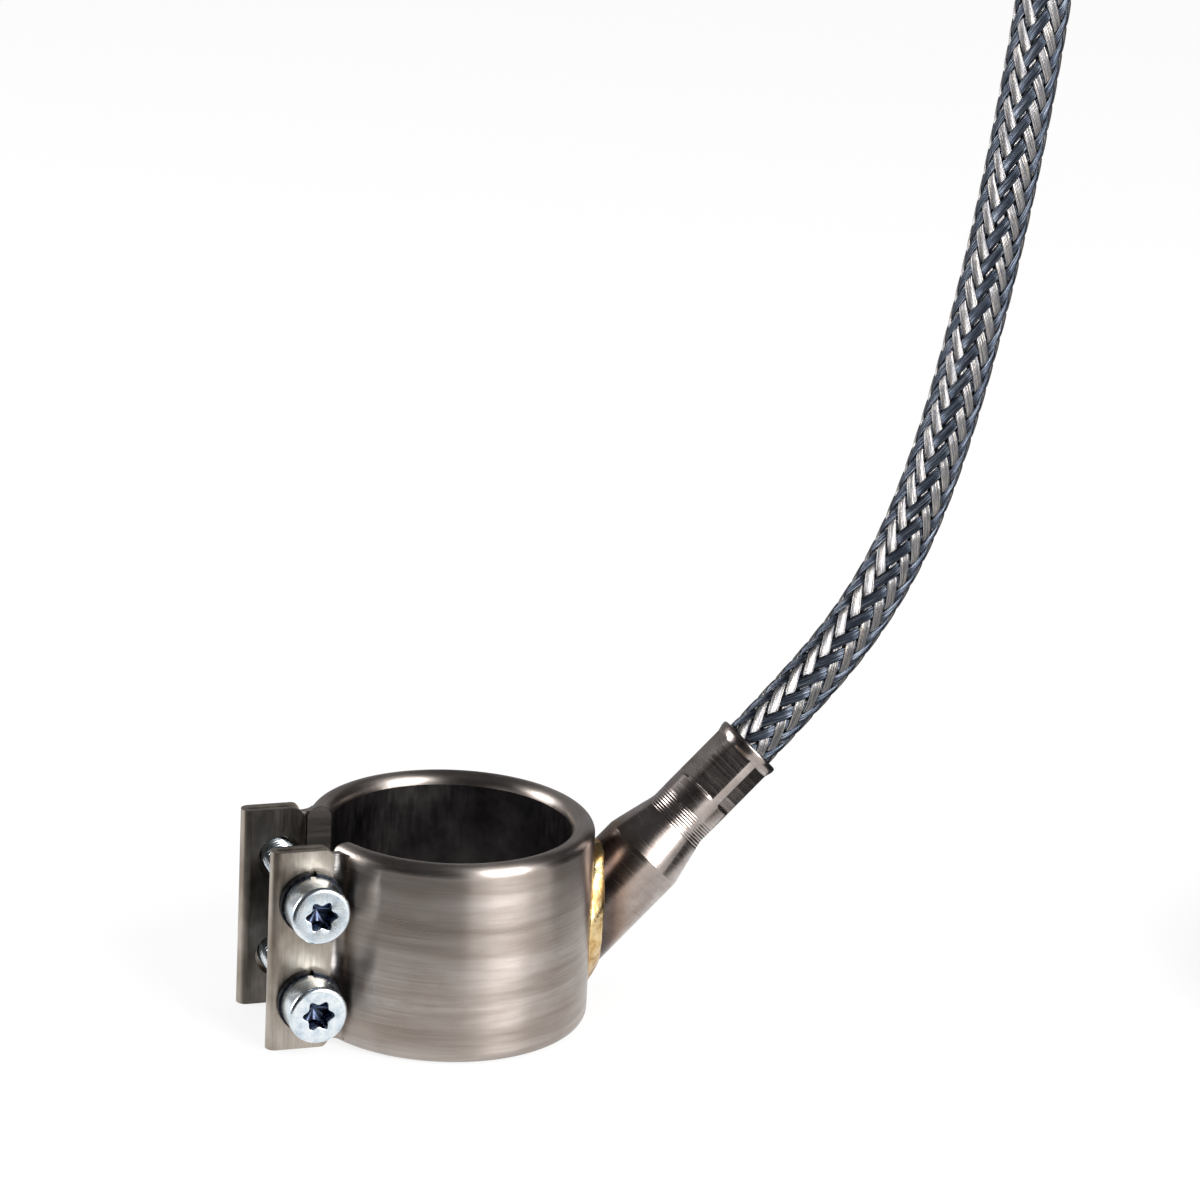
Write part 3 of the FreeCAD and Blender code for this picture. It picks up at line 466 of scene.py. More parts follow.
def clamp_screw(level):
    """A socket screw: threaded shank, round head with softened edges, six-lobe recess."""
    low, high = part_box(level + "_clamp_screw")
    tip, top = high[1], low[1]
    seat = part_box(level + "_lock_washer")[0][1]
    height = (low[2] + high[2]) / 2
    angles = np.linspace(0, math.tau, SCREW_SIDES, endpoint=False)
    rings = [(tip, np.full(SCREW_SIDES, TIP_HOLE))]
    for y in np.arange(tip, seat + THREAD_END, -THREAD_PITCH / THREAD_ROWS):
        phase = (y / THREAD_PITCH + angles / math.tau) % 1
        flank = np.abs(2 * phase - 1)
        cut = THREAD_DEPTH * smoothstep((flank - THREAD_FLAT) / (1 - 2 * THREAD_FLAT))
        taper = POINT_CUT * max(0, 1 - (tip - y) / POINT_LENGTH)
        rings.append((y, np.minimum(SHANK_RADIUS - cut, SHANK_RADIUS - taper)))
    for out, y in ((SHANK_RADIUS, seat + SHOULDER), (SHANK_RADIUS, seat), (HEAD_RADIUS - SEAT_EDGE, seat)):
        rings.append((y, np.full(SCREW_SIDES, out)))
    for turn in np.linspace(0, math.pi / 2, EDGE_ROWS):
        rings.append((seat - SEAT_EDGE * (1 - math.cos(turn)),
                      np.full(SCREW_SIDES, HEAD_RADIUS - SEAT_EDGE * (1 - math.sin(turn)))))
    for turn in np.linspace(0, math.pi / 2, CROWN_ROWS):
        rings.append((top + CROWN_EDGE * (1 - math.sin(turn)),
                      np.full(SCREW_SIDES, HEAD_RADIUS - CROWN_EDGE * (1 - math.cos(turn)))))
    rings.append((top + FACE_DIP, np.full(SCREW_SIDES, FACE_RADIUS)))
    for turn in np.linspace(0, math.pi / 2, EDGE_ROWS):
        rings.append((top + FACE_DIP + RECESS_LIP * (1 - math.cos(turn)),
                      lobes(angles) + RECESS_LIP * (1 - math.sin(turn))))
    for depth, share in RECESS_FLOOR:
        rings.append((top + RECESS_DEPTH * depth, lobes(angles, share)))
    points = [(SCREW_X + out * math.cos(angle), y, height + out * math.sin(angle))
              for y, radius in rings for out, angle in zip(radius, angles)]
    faces = grid_faces(len(rings), SCREW_SIDES)
    screw = mesh_piece(level + "_screw_turned", points, faces, level + "_screw",
                       [level + "_clamp_screw"])
    screw.data.set_sharp_from_angle(angle=SCREW_CREASE)
    return screw


screws = [clamp_screw(level) for level in ("upper", "lower")]


# ---- materials ---------------------------------------------------------------------------------

SHADER = "Principled BSDF"
# the colour of the painted shade in the gap between the ears
GAP_SHADE = "#3a3735"


def tone(code):
    """An sRGB hex value as the linear colour that shaders use."""
    channels = [int(code[start:start + 2], 16) / 255 for start in (1, 3, 5)]
    return tuple(c / 12.92 if c <= 0.04045 else ((c + 0.055) / 1.055) ** 2.4 for c in channels) + (1,)


def join(tree, node, sockets):
    """Set a node's sockets: a link from another node's output, else a hex colour or a value."""
    for key, value in sockets.items():
        if isinstance(value, bpy.types.NodeSocket):
            tree.links.new(value, node.inputs[key])
        else:
            node.inputs[key].default_value = tone(value) if isinstance(value, str) else value


def add(tree, kind, sockets=None, out=0, stops=(), **settings):
    """Add a node with its settings, its sockets and a ramp's stops, and give back one output."""
    node = tree.nodes.new("ShaderNode" + kind)
    for key, value in settings.items():
        setattr(node, key, value)
    for _ in stops[2:]:
        node.color_ramp.elements.new(0.5)
    for number, (position, code) in enumerate(stops):
        node.color_ramp.elements[number].position = position
        node.color_ramp.elements[number].color = tone(code)
    join(tree, node, sockets or {})
    return node.outputs[out]


def new_finish(name, sockets):
    """A material and its tree, with what is the same all over set on the shader's own sockets."""
    material = bpy.data.materials.new(name)
    material.use_nodes = True
    join(material.node_tree, material.node_tree.nodes[SHADER], sockets)
    return material, material.node_tree


def rolled_stainless():
    """Stainless strip, rolled and rubbed along the band: long level streaks and soft brown bands."""
    material, tree = new_finish("rolled_stainless", {
        "Metallic": 1.0, "Anisotropic": 0.75, "Anisotropic Rotation": 0.25})
    chart = add(tree, "TexCoord", out="Object")
    along = add(tree, "Mapping", {"Vector": chart, "Scale": (0.025, 0.025, 1)})
    streaks = add(tree, "TexNoise", {"Vector": along, "Scale": 1 / (0.30 * MM), "Detail": 4.0,
                                     "Roughness": 0.6})
    wide = add(tree, "Mapping", {"Vector": chart, "Scale": (0.10, 0.10, 1)})
    bands = add(tree, "TexNoise", {"Vector": wide, "Scale": 1 / (4.2 * MM), "Detail": 3.0,
                                   "Roughness": 0.55, "Distortion": 0.4})
    low = add(tree, "Mapping", {"Vector": chart, "Scale": (1, 1, 1.6)})
    clouds = add(tree, "TexNoise", {"Vector": low, "Scale": 1 / (8 * MM), "Detail": 3.0, "Roughness": 0.6})
    steel = add(tree, "ValToRGB", {"Fac": bands}, stops=(
        (0.30, "#8f847c"), (0.47, "#a79d96"), (0.62, "#b7aea8"), (0.80, "#a89e98")))
    browned = add(tree, "MapRange", {"Value": clouds, "From Min": 0.48, "From Max": 0.75, "To Max": 0.6})
    steel = add(tree, "Mix", {0: browned, 6: steel, 7: "#978a80"}, out=2, data_type="RGBA")
    rubbed = add(tree, "MapRange", {"Value": streaks, "From Min": 0.45, "From Max": 0.75, "To Max": 0.30})
    steel = add(tree, "Mix", {0: rubbed, 6: steel, 7: "#7d736c"}, out=2, data_type="RGBA")
    # painted shade on the end walls, in the gap between the ears
    x = add(tree, "SeparateXYZ", {"Vector": chart}, out="X")
    y = add(tree, "SeparateXYZ", {"Vector": chart}, out="Y")
    aside = add(tree, "Math", {0: y}, operation="ABSOLUTE")
    near_ears = add(tree, "MapRange", {"Value": x, "From Min": -16 * MM, "From Max": -14.5 * MM,
                                       "To Min": 0.85, "To Max": 0})
    in_gap = add(tree, "MapRange", {"Value": aside, "From Min": 7.3 * MM, "From Max": 7.6 * MM,
                                    "To Min": 1, "To Max": 0})
    gap_shade_mask = add(tree, "Math", {0: near_ears, 1: in_gap}, operation="MULTIPLY")
    steel = add(tree, "Mix", {0: gap_shade_mask, 6: steel, 7: GAP_SHADE}, out=2, data_type="RGBA")
    grain = add(tree, "Math", {0: streaks, 1: bands}, operation="ADD")
    join(tree, tree.nodes[SHADER], {
        "Base Color": steel,
        "Tangent": add(tree, "Tangent", direction_type="RADIAL", axis="Z"),
        "Roughness": add(tree, "MapRange", {"Value": grain, "From Min": 0.7, "From Max": 1.3,
                                            "To Min": 0.26, "To Max": 0.40}),
        "Normal": add(tree, "Bump", {"Height": streaks, "Distance": 0.006 * MM, "Strength": 1.0})})
    return material


def shade_painted_stainless():
    """The inner wall's stainless, painted dark for the shade inside the ring: dull and rubbed upright."""
    material, tree = new_finish("shade_painted_stainless", {"Metallic": 1.0})
    chart = add(tree, "TexCoord", out="Object")
    upright = add(tree, "Mapping", {"Vector": chart, "Scale": (1, 1, 0.2)})
    rub = add(tree, "TexNoise", {"Vector": upright, "Scale": 1 / (0.8 * MM), "Detail": 4.0, "Roughness": 0.6})
    clouds = add(tree, "TexNoise", {"Vector": chart, "Scale": 1 / (7 * MM), "Detail": 3.0, "Roughness": 0.6})
    join(tree, tree.nodes[SHADER], {
        "Base Color": add(tree, "ValToRGB", {"Fac": clouds}, stops=(
            (0.35, "#2b2829"), (0.6, "#474343"), (0.75, "#575252"))),
        "Roughness": add(tree, "MapRange", {"Value": rub, "From Min": 0.3, "From Max": 0.7,
                                            "To Min": 0.34, "To Max": 0.52}),
        "Normal": add(tree, "Bump", {"Height": rub, "Distance": 0.01 * MM, "Strength": 1.0})})
    return material


def folded_stainless():
    """The ears' folded strip: its grain stands up along the fold, and painted shade darkens its inner side.
    """
    material, tree = new_finish("folded_stainless", {"Metallic": 1.0})
    chart = add(tree, "TexCoord", out="Object")
    upright = add(tree, "Mapping", {"Vector": chart, "Scale": (1, 1, 0.05)})
    grain = add(tree, "TexNoise", {"Vector": upright, "Scale": 1 / (0.28 * MM), "Detail": 4.0,
                                   "Roughness": 0.65})
    tall = add(tree, "Mapping", {"Vector": chart, "Scale": (1, 1, 0.5)})
    clouds = add(tree, "TexNoise", {"Vector": tall, "Scale": 1 / (5 * MM), "Detail": 3.0, "Roughness": 0.6})
    steel = add(tree, "ValToRGB", {"Fac": clouds}, stops=(
        (0.32, "#857a70"), (0.5, "#a1988d"), (0.68, "#b5ada4")))
    drawn = add(tree, "MapRange", {"Value": grain, "From Min": 0.45, "From Max": 0.75, "To Max": 0.35})
    steel = add(tree, "Mix", {0: drawn, 6: steel, 7: "#776d63"}, out=2, data_type="RGBA")
    # painted shade on the ears' inner faces in the gap, made patchy by the clouds
    y = add(tree, "SeparateXYZ", {"Vector": chart}, out="Y")
    aside = add(tree, "Math", {0: y}, operation="ABSOLUTE")
    inside = add(tree, "MapRange", {"Value": aside, "From Min": 7.3 * MM, "From Max": 7.7 * MM,
                                    "To Min": 1, "To Max": 0})
    patchy = add(tree, "MapRange", {"Value": clouds, "From Min": 0.3, "From Max": 0.7,
                                    "To Min": 0.95, "To Max": 0.65})
    gap_shade_mask = add(tree, "Math", {0: inside, 1: patchy}, operation="MULTIPLY")
    join(tree, tree.nodes[SHADER], {
        "Base Color": add(tree, "Mix", {0: gap_shade_mask, 6: steel, 7: GAP_SHADE}, out=2, data_type="RGBA"),
        "Roughness": add(tree, "MapRange", {"Value": grain, "From Min": 0.3, "From Max": 0.7,
                                            "To Min": 0.28, "To Max": 0.46}),
        "Normal": add(tree, "Bump", {"Height": grain, "Distance": 0.010 * MM, "Strength": 1.0})})
    return material


def turned_stainless():
    """The turned sleeve: fine rings round its axis, and a brown and straw heat tint by the braze."""
    material, tree = new_finish("turned_stainless", {
        "Metallic": 1.0, "Anisotropic": 0.35, "Anisotropic Rotation": 0.25})
    chart = add(tree, "TexCoord", out="Object")
    round_axis = add(tree, "Mapping", {"Vector": chart, "Scale": (0.03, 0.03, 1)})
    rings = add(tree, "TexNoise", {"Vector": round_axis, "Scale": 1 / (0.22 * MM), "Detail": 4.0,
                                   "Roughness": 0.7})
    clouds = add(tree, "TexNoise", {"Vector": chart, "Scale": 1 / (4 * MM), "Detail": 3.0, "Roughness": 0.6})
    steel = add(tree, "ValToRGB", {"Fac": clouds}, stops=(
        (0.35, "#998e88"), (0.55, "#ada39e"), (0.72, "#bfb6b1")))
    # how far a place is from the ring, in metres, with the clouds to make the tint's edge uneven
    x = add(tree, "SeparateXYZ", {"Vector": chart}, out="X")
    z = add(tree, "SeparateXYZ", {"Vector": chart}, out="Z")
    slanted = add(tree, "Math", {0: x, 1: z}, operation="ADD")
    off_ring = add(tree, "Math", {0: slanted, 1: math.sin(TILT)}, operation="MULTIPLY")
    uneven = add(tree, "Math", {0: clouds, 1: 2.2 * MM}, operation="MULTIPLY")
    reach = add(tree, "Math", {0: off_ring, 1: uneven}, operation="ADD")
    heat = add(tree, "MapRange", {"Value": reach, "From Min": 2 * MM, "From Max": 10 * MM,
                                  "To Min": 1, "To Max": 0})
    tint = add(tree, "ValToRGB", {"Fac": heat}, stops=(
        (0.0, "#ada39e"), (0.35, "#948272"), (0.62, "#7e5d42"), (0.82, "#4a342b"), (1.0, "#2a2120")))
    tinted = add(tree, "MapRange", {"Value": heat, "From Min": 0.05, "From Max": 0.8, "To Max": 0.8})
    steel = add(tree, "Mix", {0: tinted, 6: steel, 7: tint}, out=2, data_type="RGBA")
    marked = add(tree, "MapRange", {"Value": rings, "From Min": 0.45, "From Max": 0.75, "To Max": 0.30})
    join(tree, tree.nodes[SHADER], {
        "Base Color": add(tree, "Mix", {0: marked, 6: steel, 7: "#6f6560"}, out=2, data_type="RGBA"),
        "Tangent": add(tree, "Tangent", direction_type="RADIAL", axis="Z"),
        "Roughness": add(tree, "MapRange", {"Value": rings, "From Min": 0.3, "From Max": 0.7,
                                            "To Min": 0.16, "To Max": 0.30}),
        "Normal": add(tree, "Bump", {"Height": rings, "Distance": 0.005 * MM, "Strength": 1.0})})
    return material


def silver_brass_braze():
    """Silver-brass braze: golden, glossy where it ran, browned where flux burnt on it, and darker brown
    towards the bottom.
    """
    material, tree = new_finish("silver_brass_braze", {"Metallic": 1.0})
    chart = add(tree, "TexCoord", out="Object")
    burnt = add(tree, "TexNoise", {"Vector": chart, "Scale": 1 / (2.2 * MM), "Detail": 4.0,
                                   "Roughness": 0.6, "Distortion": 0.5})
    lumps = add(tree, "TexNoise", {"Vector": chart, "Scale": 1 / (0.7 * MM), "Detail": 3.0, "Roughness": 0.6})
    brass = add(tree, "ValToRGB", {"Fac": burnt}, stops=(
        (0.30, "#8a6238"), (0.42, "#c09a62"), (0.55, "#e0c38d"), (0.72, "#f0deb4")))
    # darker brown towards the bottom
    z = add(tree, "SeparateXYZ", {"Vector": chart}, out="Z")
    low = add(tree, "MapRange", {"Value": z, "From Min": -11 * MM, "From Max": -4 * MM,
                                 "To Min": 0.65, "To Max": 0})
    join(tree, tree.nodes[SHADER], {
        "Base Color": add(tree, "Mix", {0: low, 6: brass, 7: "#7d5a3c"}, out=2, data_type="RGBA"),
        "Roughness": add(tree, "MapRange", {"Value": burnt, "From Min": 0.3, "From Max": 0.6,
                                            "To Min": 0.42, "To Max": 0.20}),
        "Normal": add(tree, "Bump", {"Height": lumps, "Distance": 0.05 * MM, "Strength": 1.0})})
    return material


def blue_zinc_plate():
    """Bright zinc with a blue passivate: cool white, a little cloudy, with painted dark blue shade in the
    recess.
    """
    material, tree = new_finish("blue_zinc_plate", {"Metallic": 1.0})
    chart = add(tree, "TexCoord", out="Object")
    clouds = add(tree, "TexNoise", {"Vector": chart, "Scale": 1 / (1.6 * MM), "Detail": 3.0,
                                    "Roughness": 0.6})
    pits = add(tree, "TexNoise", {"Vector": chart, "Scale": 1 / (0.25 * MM), "Detail": 3.0, "Roughness": 0.6})
    zinc = add(tree, "ValToRGB", {"Fac": clouds}, stops=(
        (0.3, "#b4c4d0"), (0.5, "#dae3e9"), (0.7, "#eef2f3")))
    # painted shade in the recess: how far a place is from the nearer screw's axis, and how deep it lies
    # behind the heads' faces
    x, y, z = (add(tree, "SeparateXYZ", {"Vector": chart}, out=axis) for axis in "XYZ")
    across = add(tree, "Math", {0: x, 1: SCREW_X}, operation="SUBTRACT")
    level = add(tree, "Math", {0: z}, operation="ABSOLUTE")
    rise = add(tree, "Math", {0: level, 1: SCREW_LEVEL}, operation="SUBTRACT")
    off_axis = add(tree, "CombineXYZ", {"X": across, "Y": rise})
    out = add(tree, "VectorMath", {0: off_axis}, out="Value", operation="LENGTH")
    in_recess = add(tree, "MapRange", {"Value": out, "From Min": 2.15 * MM, "From Max": 2.3 * MM,
                                       "To Min": 1, "To Max": 0})
    below_face = add(tree, "MapRange", {"Value": y, "From Min": -15.9 * MM, "From Max": -15 * MM})
    above_floor = add(tree, "MapRange", {"Value": y, "From Min": -12 * MM, "From Max": -11.5 * MM,
                                         "To Min": 0.93, "To Max": 0})
    deep = add(tree, "Math", {0: below_face, 1: above_floor}, operation="MULTIPLY")
    recess_shade = add(tree, "Math", {0: in_recess, 1: deep}, operation="MULTIPLY")
    join(tree, tree.nodes[SHADER], {
        "Base Color": add(tree, "Mix", {0: recess_shade, 6: zinc, 7: "#1b2b4c"}, out=2, data_type="RGBA"),
        "Roughness": add(tree, "MapRange", {"Value": clouds, "From Min": 0.3, "From Max": 0.7,
                                            "To Min": 0.32, "To Max": 0.18}),
        "Normal": add(tree, "Bump", {"Height": pits, "Distance": 0.012 * MM, "Strength": 1.0})})
    return material


def braid_wire(name, deep, plain, glint):
    """Stainless wires lying side by side in a flat ribbon: eight rounded ridges across it, with painted shade
    between them and painted glints along them.
    """
    material, tree = new_finish(name, {"Metallic": 1.0})
    chart = add(tree, "UVMap", uv_map="ribbon")
    across, along = (add(tree, "SeparateXYZ", {"Vector": chart}, out=axis) for axis in "XY")
    turns = add(tree, "Math", {0: across, 1: math.pi * WIRES_PER_RIBBON}, operation="MULTIPLY")
    swing = add(tree, "Math", {0: turns}, operation="SINE")
    wires = add(tree, "Math", {0: swing}, operation="ABSOLUTE")
    which_wire = add(tree, "Math", {0: across, 1: WIRES_PER_RIBBON}, operation="MULTIPLY")
    # painted glints and shade: a wire's colour changes every 4 mm or so along it
    where = add(tree, "Math", {0: along, 1: 1 / (4 * MM)}, operation="MULTIPLY")
    spot = add(tree, "CombineXYZ", {"X": which_wire, "Y": where})
    uneven = add(tree, "TexNoise", {"Vector": spot, "Scale": 1.0, "Detail": 2.0})
    steel = add(tree, "ValToRGB", {"Fac": uneven}, stops=((0.32, deep), (0.5, plain), (0.70, glint)))
    # painted shade in the grooves between the wires
    groove_shade = add(tree, "MapRange", {"Value": wires, "From Max": 0.45, "To Min": 0.62, "To Max": 0})
    join(tree, tree.nodes[SHADER], {
        "Base Color": add(tree, "Mix", {0: groove_shade, 6: steel, 7: "#15171c"}, out=2, data_type="RGBA"),
        "Roughness": add(tree, "MapRange", {"Value": uneven, "From Min": 0.3, "From Max": 0.7,
                                            "To Min": 0.34, "To Max": 0.22}),
        "Normal": add(tree, "Bump", {"Height": wires, "Distance": 0.05 * MM, "Strength": 1.0})})
    return material


def glass_sleeving(name, plain, pale):
    """Varnished glass braid over a core: a fine diagonal weave, slightly glossy and faded in spots, with
    painted shade in its hollows.
    """
    material, tree = new_finish(name, {"Roughness": 0.55, "Sheen Weight": 0.25, "IOR": 1.5})
    chart = add(tree, "TexCoord", out="Object")
    diagonal = add(tree, "Mapping", {"Vector": chart, "Rotation": (0, math.radians(45), 0)})
    # the real weave is 0.25 mm; it is drawn at 0.4 mm so that it shows
    strands = [add(tree, "TexWave", {"Vector": diagonal, "Scale": 2 / (math.tau * 0.4 * MM),
                                     "Distortion": 0.4}, out="Fac", bands_direction=direction)
               for direction in ("X", "Z")]
    weave = add(tree, "Math", {0: strands[0], 1: strands[1]}, operation="MULTIPLY")
    fade = add(tree, "TexNoise", {"Vector": chart, "Scale": 1 / (2.5 * MM), "Detail": 3.0, "Roughness": 0.6})
    faded = add(tree, "MapRange", {"Value": fade, "From Min": 0.4, "From Max": 0.8, "To Max": 0.5})
    glass = add(tree, "Mix", {0: faded, 6: plain, 7: pale}, out=2, data_type="RGBA")
    # painted shade in the weave's hollows
    weave_shade = add(tree, "MapRange", {"Value": weave, "From Max": 0.5, "To Min": 0.4, "To Max": 0})
    join(tree, tree.nodes[SHADER], {
        "Base Color": add(tree, "Mix", {0: weave_shade, 6: glass, 7: "#1c1b1a"}, out=2, data_type="RGBA"),
        "Normal": add(tree, "Bump", {"Height": weave, "Distance": 0.05 * MM, "Strength": 1.0})})
    return material


def clouded_metal(name, size, dark, light, dull, bright):
    """A small metal part, drawn or rolled, with light clouds of tarnish of a size in metres."""
    material, tree = new_finish(name, {"Metallic": 1.0})
    chart = add(tree, "TexCoord", out="Object")
    clouds = add(tree, "TexNoise", {"Vector": chart, "Scale": 1 / size, "Detail": 4.0, "Roughness": 0.6})
    join(tree, tree.nodes[SHADER], {
        "Base Color": add(tree, "ValToRGB", {"Fac": clouds}, stops=((0.35, dark), (0.68, light))),
        "Roughness": add(tree, "MapRange", {"Value": clouds, "From Min": 0.3, "From Max": 0.7,
                                            "To Min": dull, "To Max": bright}),
        "Normal": add(tree, "Bump", {"Height": clouds, "Distance": 0.01 * MM, "Strength": 1.0})})
    return material


def blackened_spring_steel():
    """Blackened spring steel, oily and nearly smooth: blue-black with faint grey scale."""
    material, tree = new_finish("blackened_spring_steel", {"Metallic": 1.0})
    chart = add(tree, "TexCoord", out="Object")
    scale = add(tree, "TexNoise", {"Vector": chart, "Scale": 1 / (0.8 * MM), "Detail": 3.0, "Roughness": 0.6})
    join(tree, tree.nodes[SHADER], {
        "Base Color": add(tree, "ValToRGB", {"Fac": scale}, stops=(
            (0.35, "#16171b"), (0.6, "#2b2d33"), (0.75, "#43454c"))),
        "Roughness": add(tree, "MapRange", {"Value": scale, "From Min": 0.3, "From Max": 0.7,
                                            "To Min": 0.3, "To Max": 0.5}),
        "Normal": add(tree, "Bump", {"Height": scale, "Distance": 0.01 * MM, "Strength": 1.0})})
    return material


def mica_paper():
    """Pressed mica: silvery amber flakes in a hard clear binder."""
    material, tree = new_finish("mica_paper", {"Roughness": 0.38, "Coat Weight": 0.3, "IOR": 1.58})
    chart = add(tree, "TexCoord", out="Object")
    flakes = add(tree, "TexVoronoi", {"Vector": chart, "Scale": 1 / (0.9 * MM)}, out="Color")
    speck = add(tree, "SeparateXYZ", {"Vector": flakes}, out="X")
    join(tree, tree.nodes[SHADER], {
        "Base Color": add(tree, "ValToRGB", {"Fac": speck}, stops=(
            (0.1, "#a08a5e"), (0.5, "#c9b88e"), (0.9, "#e3d9bd"))),
        "Normal": add(tree, "Bump", {"Height": speck, "Distance": 0.01 * MM, "Strength": 1.0})})
    return material


def shade_black_sheath():
    """The glass sleeve under the braid, painted near-black for the shade in the braid's corners, where alone
    it shows.
    """
    material, tree = new_finish("shade_black_sheath", {"Roughness": 0.8, "IOR": 1.5})
    chart = add(tree, "TexCoord", out="Object")
    weave = add(tree, "TexNoise", {"Vector": chart, "Scale": 1 / (0.4 * MM), "Detail": 3.0, "Roughness": 0.6})
    join(tree, tree.nodes[SHADER], {
        "Base Color": add(tree, "ValToRGB", {"Fac": weave}, stops=((0.35, "#08090b"), (0.7, "#17181c"))),
        "Normal": add(tree, "Bump", {"Height": weave, "Distance": 0.04 * MM, "Strength": 1.0})})
    return material


FINISHES = {
    "brushed_stainless": rolled_stainless(),
    "heated_stainless": shade_painted_stainless(),
    "ear_stainless": folded_stainless(),
    "turned_stainless": clouded_metal("drawn_stainless", 1.0 * MM, "#978d87", "#bdb4ae", 0.36, 0.24),
    "zinc_plated": blue_zinc_plate(),
    "dark_spring_steel": blackened_spring_steel(),
    "braze": silver_brass_braze(),
    "mica": mica_paper(),
    "resistance_ribbon": clouded_metal("chrome_nickel_ribbon", 1.2 * MM, "#4e4a48", "#8d8a86", 0.5, 0.3),
    "nickel": clouded_metal("nickel_terminal", 0.8 * MM, "#8d887e", "#c2bdb2", 0.36, 0.22),
    "tinned_copper": clouded_metal("tinned_copper", 0.8 * MM, "#9a9a98", "#d0d0cc", 0.4, 0.25),
    "brown_glass_sleeving": glass_sleeving("brown_glass_sleeving", "#4a2a17", "#6b4228"),
    "blue_glass_sleeving": glass_sleeving("blue_glass_sleeving", "#1d3a72", "#34558f"),
    "green_glass_sleeving": glass_sleeving("green_glass_sleeving", "#2f6b2a", "#a9a33a"),
    "white_glass_sleeving": glass_sleeving("white_glass_sleeving", "#d8d4c6", "#eeebe0"),
    "steel_braid": shade_black_sheath(),
}
# the two lays are the same wire: the right lay is painted in shade, the left lay painted lit
WIRE_FINISHES = {
    "right_lay": braid_wire("shaded_braid_wire", "#363c47", "#505866", "#858b95"),
    "left_lay": braid_wire("lit_braid_wire", "#7c7c80", "#aaa8aa", "#d9d0c5"),
}


def dress(piece, material):
    """Give a piece of the scene one finish."""
    piece.data.materials.clear()
    piece.data.materials.append(material)


def dress_nodes():
    """Give every carried-over node the finish of its slot."""
    for row in frame["record"]["subparts"]:
        item = bpy.data.objects[row["node"]]
        finish = FINISHES[row["material_slot"]]
        if not item.material_slots:
            item.data.materials.append(finish)
        for place in item.material_slots:
            place.link = "OBJECT"
            place.material = finish


dress_nodes()
dress(sheath, FINISHES["steel_braid"])
dress(sleeve, turned_stainless())
dress(bead, FINISHES["braze"])
for screw in screws:
    dress(screw, FINISHES["zinc_plated"])
for piece in braids:
    dress(piece, WIRE_FINISHES["right_lay" if "right_lay" in piece.name else "left_lay"])


# ---- camera, floor and light -------------------------------------------------------------------

def aim_camera():
    """The camera: a long lens, a little above the part and turned a little clockwise."""
    target = Vector((25.4, 12.9, 42.2)) * MM
    azimuth, elevation, roll = map(math.radians, (19.17, 17.83, 2.94))
    distance = 0.66
    back = Vector((-math.sin(azimuth) * math.cos(elevation), -math.cos(azimuth) * math.cos(elevation),
                   math.sin(elevation)))
    level = Vector((math.cos(azimuth), -math.sin(azimuth), 0))
    raised = back.cross(level)
    right = level * math.cos(roll) + raised * math.sin(roll)
    up = back.cross(right)
    data = bpy.data.cameras.new("camera")
    data.lens = 135
    data.sensor_width = 36
    camera = bpy.data.objects.new("camera", data)
    camera.matrix_world = Matrix.Translation(target + back * distance) @ Matrix(
        (right, up, back)).transposed().to_4x4()
    bpy.context.scene.collection.objects.link(camera)
    bpy.context.scene.camera = camera


def seen_directly(tree):
    """One where the ray comes from the camera, a reflection or a refraction, else zero."""
    camera, mirrored, refracted = (add(tree, "LightPath", out=f"Is {ray} Ray")
                                   for ray in ("Camera", "Glossy", "Transmission"))
    either = add(tree, "Math", {0: camera, 1: mirrored}, operation="MAXIMUM")
    return add(tree, "Math", {0: either, 1: refracted}, operation="MAXIMUM")


FLOOR_REACH = 6
FLOOR_GLOW = 0.8


def lay_floor():
    """A white floor: it keeps the shadow, and elsewhere it is as white as the world."""
    data = bpy.data.meshes.new("floor")
    data.from_pydata([(x * FLOOR_REACH, y * FLOOR_REACH, FLOOR_Z)
                      for x, y in ((-1, -1), (1, -1), (1, 1), (-1, 1))], [], [(0, 1, 2, 3)])
    floor = bpy.data.objects.new("floor", data)
    bpy.context.scene.collection.objects.link(floor)
    material, tree = new_finish("white_sweep", {"Base Color": "#fbfbfb", "Roughness": 0.9, "IOR": 1.45})
    glow = add(tree, "Emission", {"Color": "#ffffff", "Strength": 1.0})
    share = add(tree, "Math", {0: seen_directly(tree), 1: FLOOR_GLOW}, operation="MULTIPLY")
    lit = add(tree, "MixShader", {0: share, 1: tree.nodes[SHADER].outputs[0], 2: glow})
    join(tree, tree.nodes["Material Output"], {"Surface": lit})
    floor.data.materials.append(material)


WORLD_FILL = 0.72


def light_world():
    """An even world: white where it is seen, and plain soft fill for the rest."""
    world = bpy.data.worlds.new("studio")
    bpy.context.scene.world = world
    world.use_nodes = True
    tree = world.node_tree
    fill = tree.nodes["Background"]
    join(tree, fill, {"Color": (WORLD_FILL, WORLD_FILL, WORLD_FILL, 1)})
    white = add(tree, "Background", {"Color": "#ffffff"})
    seen = add(tree, "MixShader", {0: seen_directly(tree), 1: fill.outputs[0], 2: white})
    join(tree, tree.nodes["World Output"], {"Surface": seen})


LAMP_TARGET = Vector((0.02, 0, 0.02))


def lamp(name, place, size, power):
    """A soft box that looks at the part."""
    data = bpy.data.lights.new(name, "AREA")
    data.shape = "RECTANGLE"
    data.size, data.size_y = size
    data.energy = power
    item = bpy.data.objects.new(name, data)
    item.location = place
    item.rotation_euler = (LAMP_TARGET - Vector(place)).to_track_quat("-Z", "Y").to_euler()
    bpy.context.scene.collection.objects.link(item)


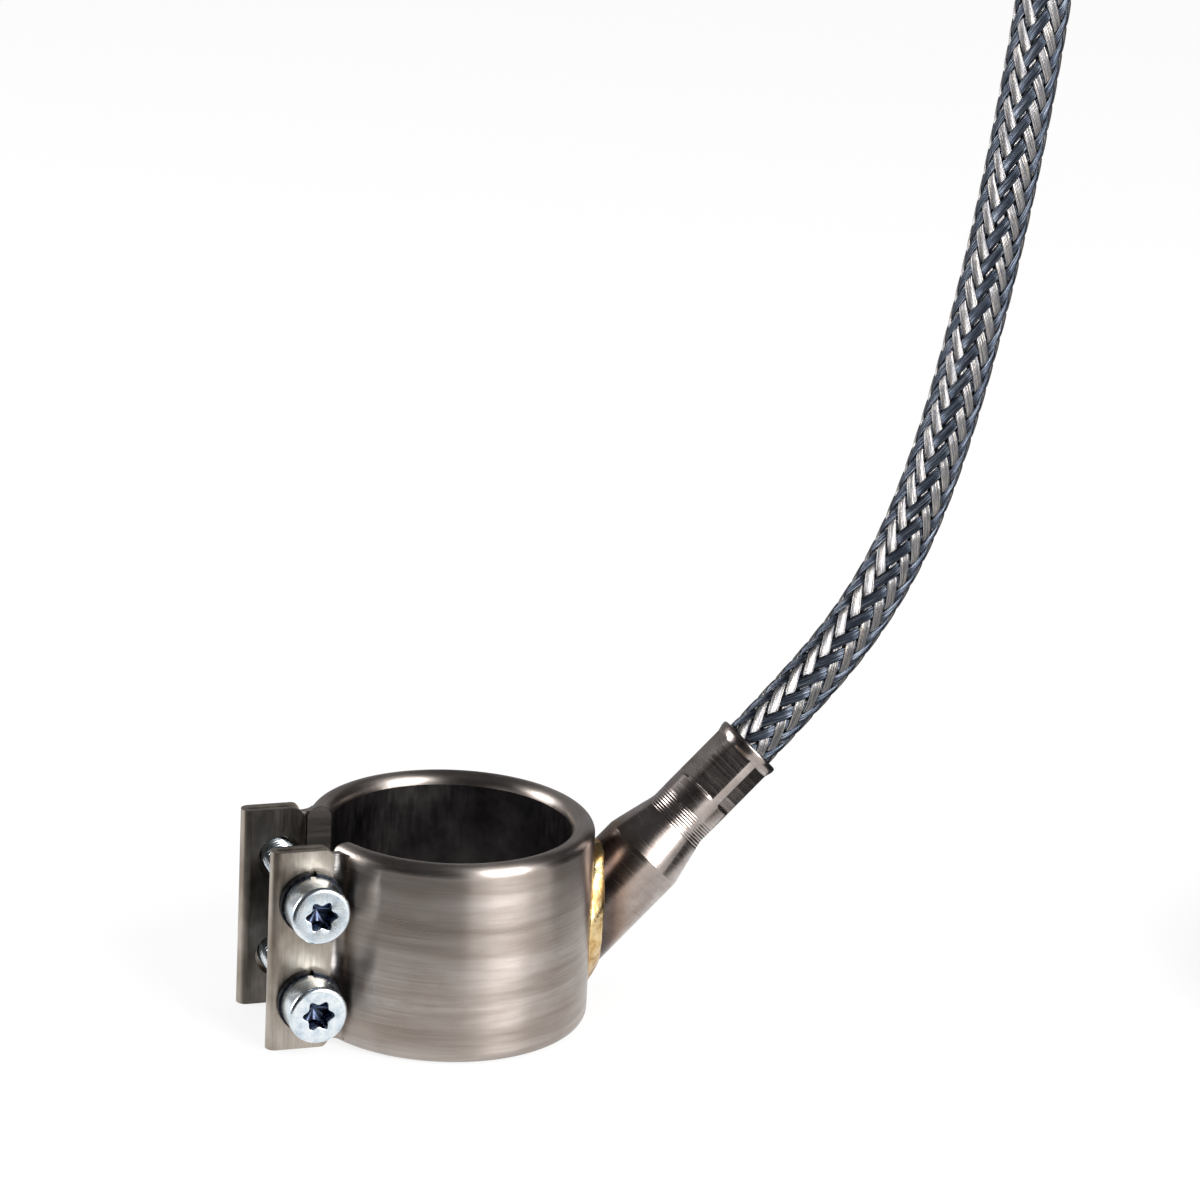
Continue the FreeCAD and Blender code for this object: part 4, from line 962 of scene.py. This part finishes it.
SWEEP_NEAR = 0.07
SWEEP_FAR = 1.3
SWEEP_HEIGHT = 0.95
SWEEP_LIFT = FLOOR_Z + 0.2 * MM
SWEEP_STEPS = 24
CEILING_SIDES = 48


def bearing(angle, distance, height):
    """A place at a bearing from the part: 0 degrees is straight in front, 90 is to its right."""
    return (distance * math.sin(math.radians(angle)), -distance * math.cos(math.radians(angle)), height)


def dark_sweep(name, start, end, shade):
    """Black or grey cloth laid and hung round part of the studio, seen only in the metal."""
    points = []
    for number in range(SWEEP_STEPS + 1):
        angle = start + (end - start) * number / SWEEP_STEPS
        points += [bearing(angle, SWEEP_NEAR, SWEEP_LIFT), bearing(angle, SWEEP_FAR, SWEEP_LIFT),
                   bearing(angle, SWEEP_FAR, SWEEP_HEIGHT)]
    data = bpy.data.meshes.new(name)
    data.from_pydata(points, [], [(row + side, row + side + 1, row + side + 4, row + side + 3)
                                  for row in range(0, 3 * SWEEP_STEPS, 3) for side in (0, 1)])
    hang_cloth(name, data, shade)


def dark_ceiling(name, shade):
    """Dark cloth hung over the whole studio."""
    data = bpy.data.meshes.new(name)
    data.from_pydata([bearing(360 * side / CEILING_SIDES, SWEEP_FAR, SWEEP_HEIGHT)
                      for side in range(CEILING_SIDES)], [], [tuple(range(CEILING_SIDES))])
    hang_cloth(name, data, shade)


def hang_cloth(name, data, shade):
    """Make the cloth's mesh an object that only reflections see."""
    cloth = bpy.data.objects.new(name, data)
    bpy.context.scene.collection.objects.link(cloth)
    for sight in ("visible_camera", "visible_diffuse", "visible_shadow", "visible_transmission"):
        setattr(cloth, sight, False)
    cloth.data.materials.append(new_finish(name, {
        "Base Color": shade, "Roughness": 0.9, "Specular IOR Level": 0.1})[0])


aim_camera()
lay_floor()
light_world()
lamp("key_softbox", bearing(30, 0.85, 0.40), (0.50, 0.80), 12)
lamp("left_softbox", bearing(-112, 0.9, 0.26), (0.42, 0.5), 6)
dark_sweep("front_sweep", -88, -2, "#2a2a2c")
dark_sweep("right_sweep", 62, 135, "#2a2a2c")
dark_sweep("back_sweep", 135, 218, "#8c8c8e")
dark_ceiling("ceiling", "#3c3c3e")
bpy.context.scene.view_settings.view_transform = "Standard"
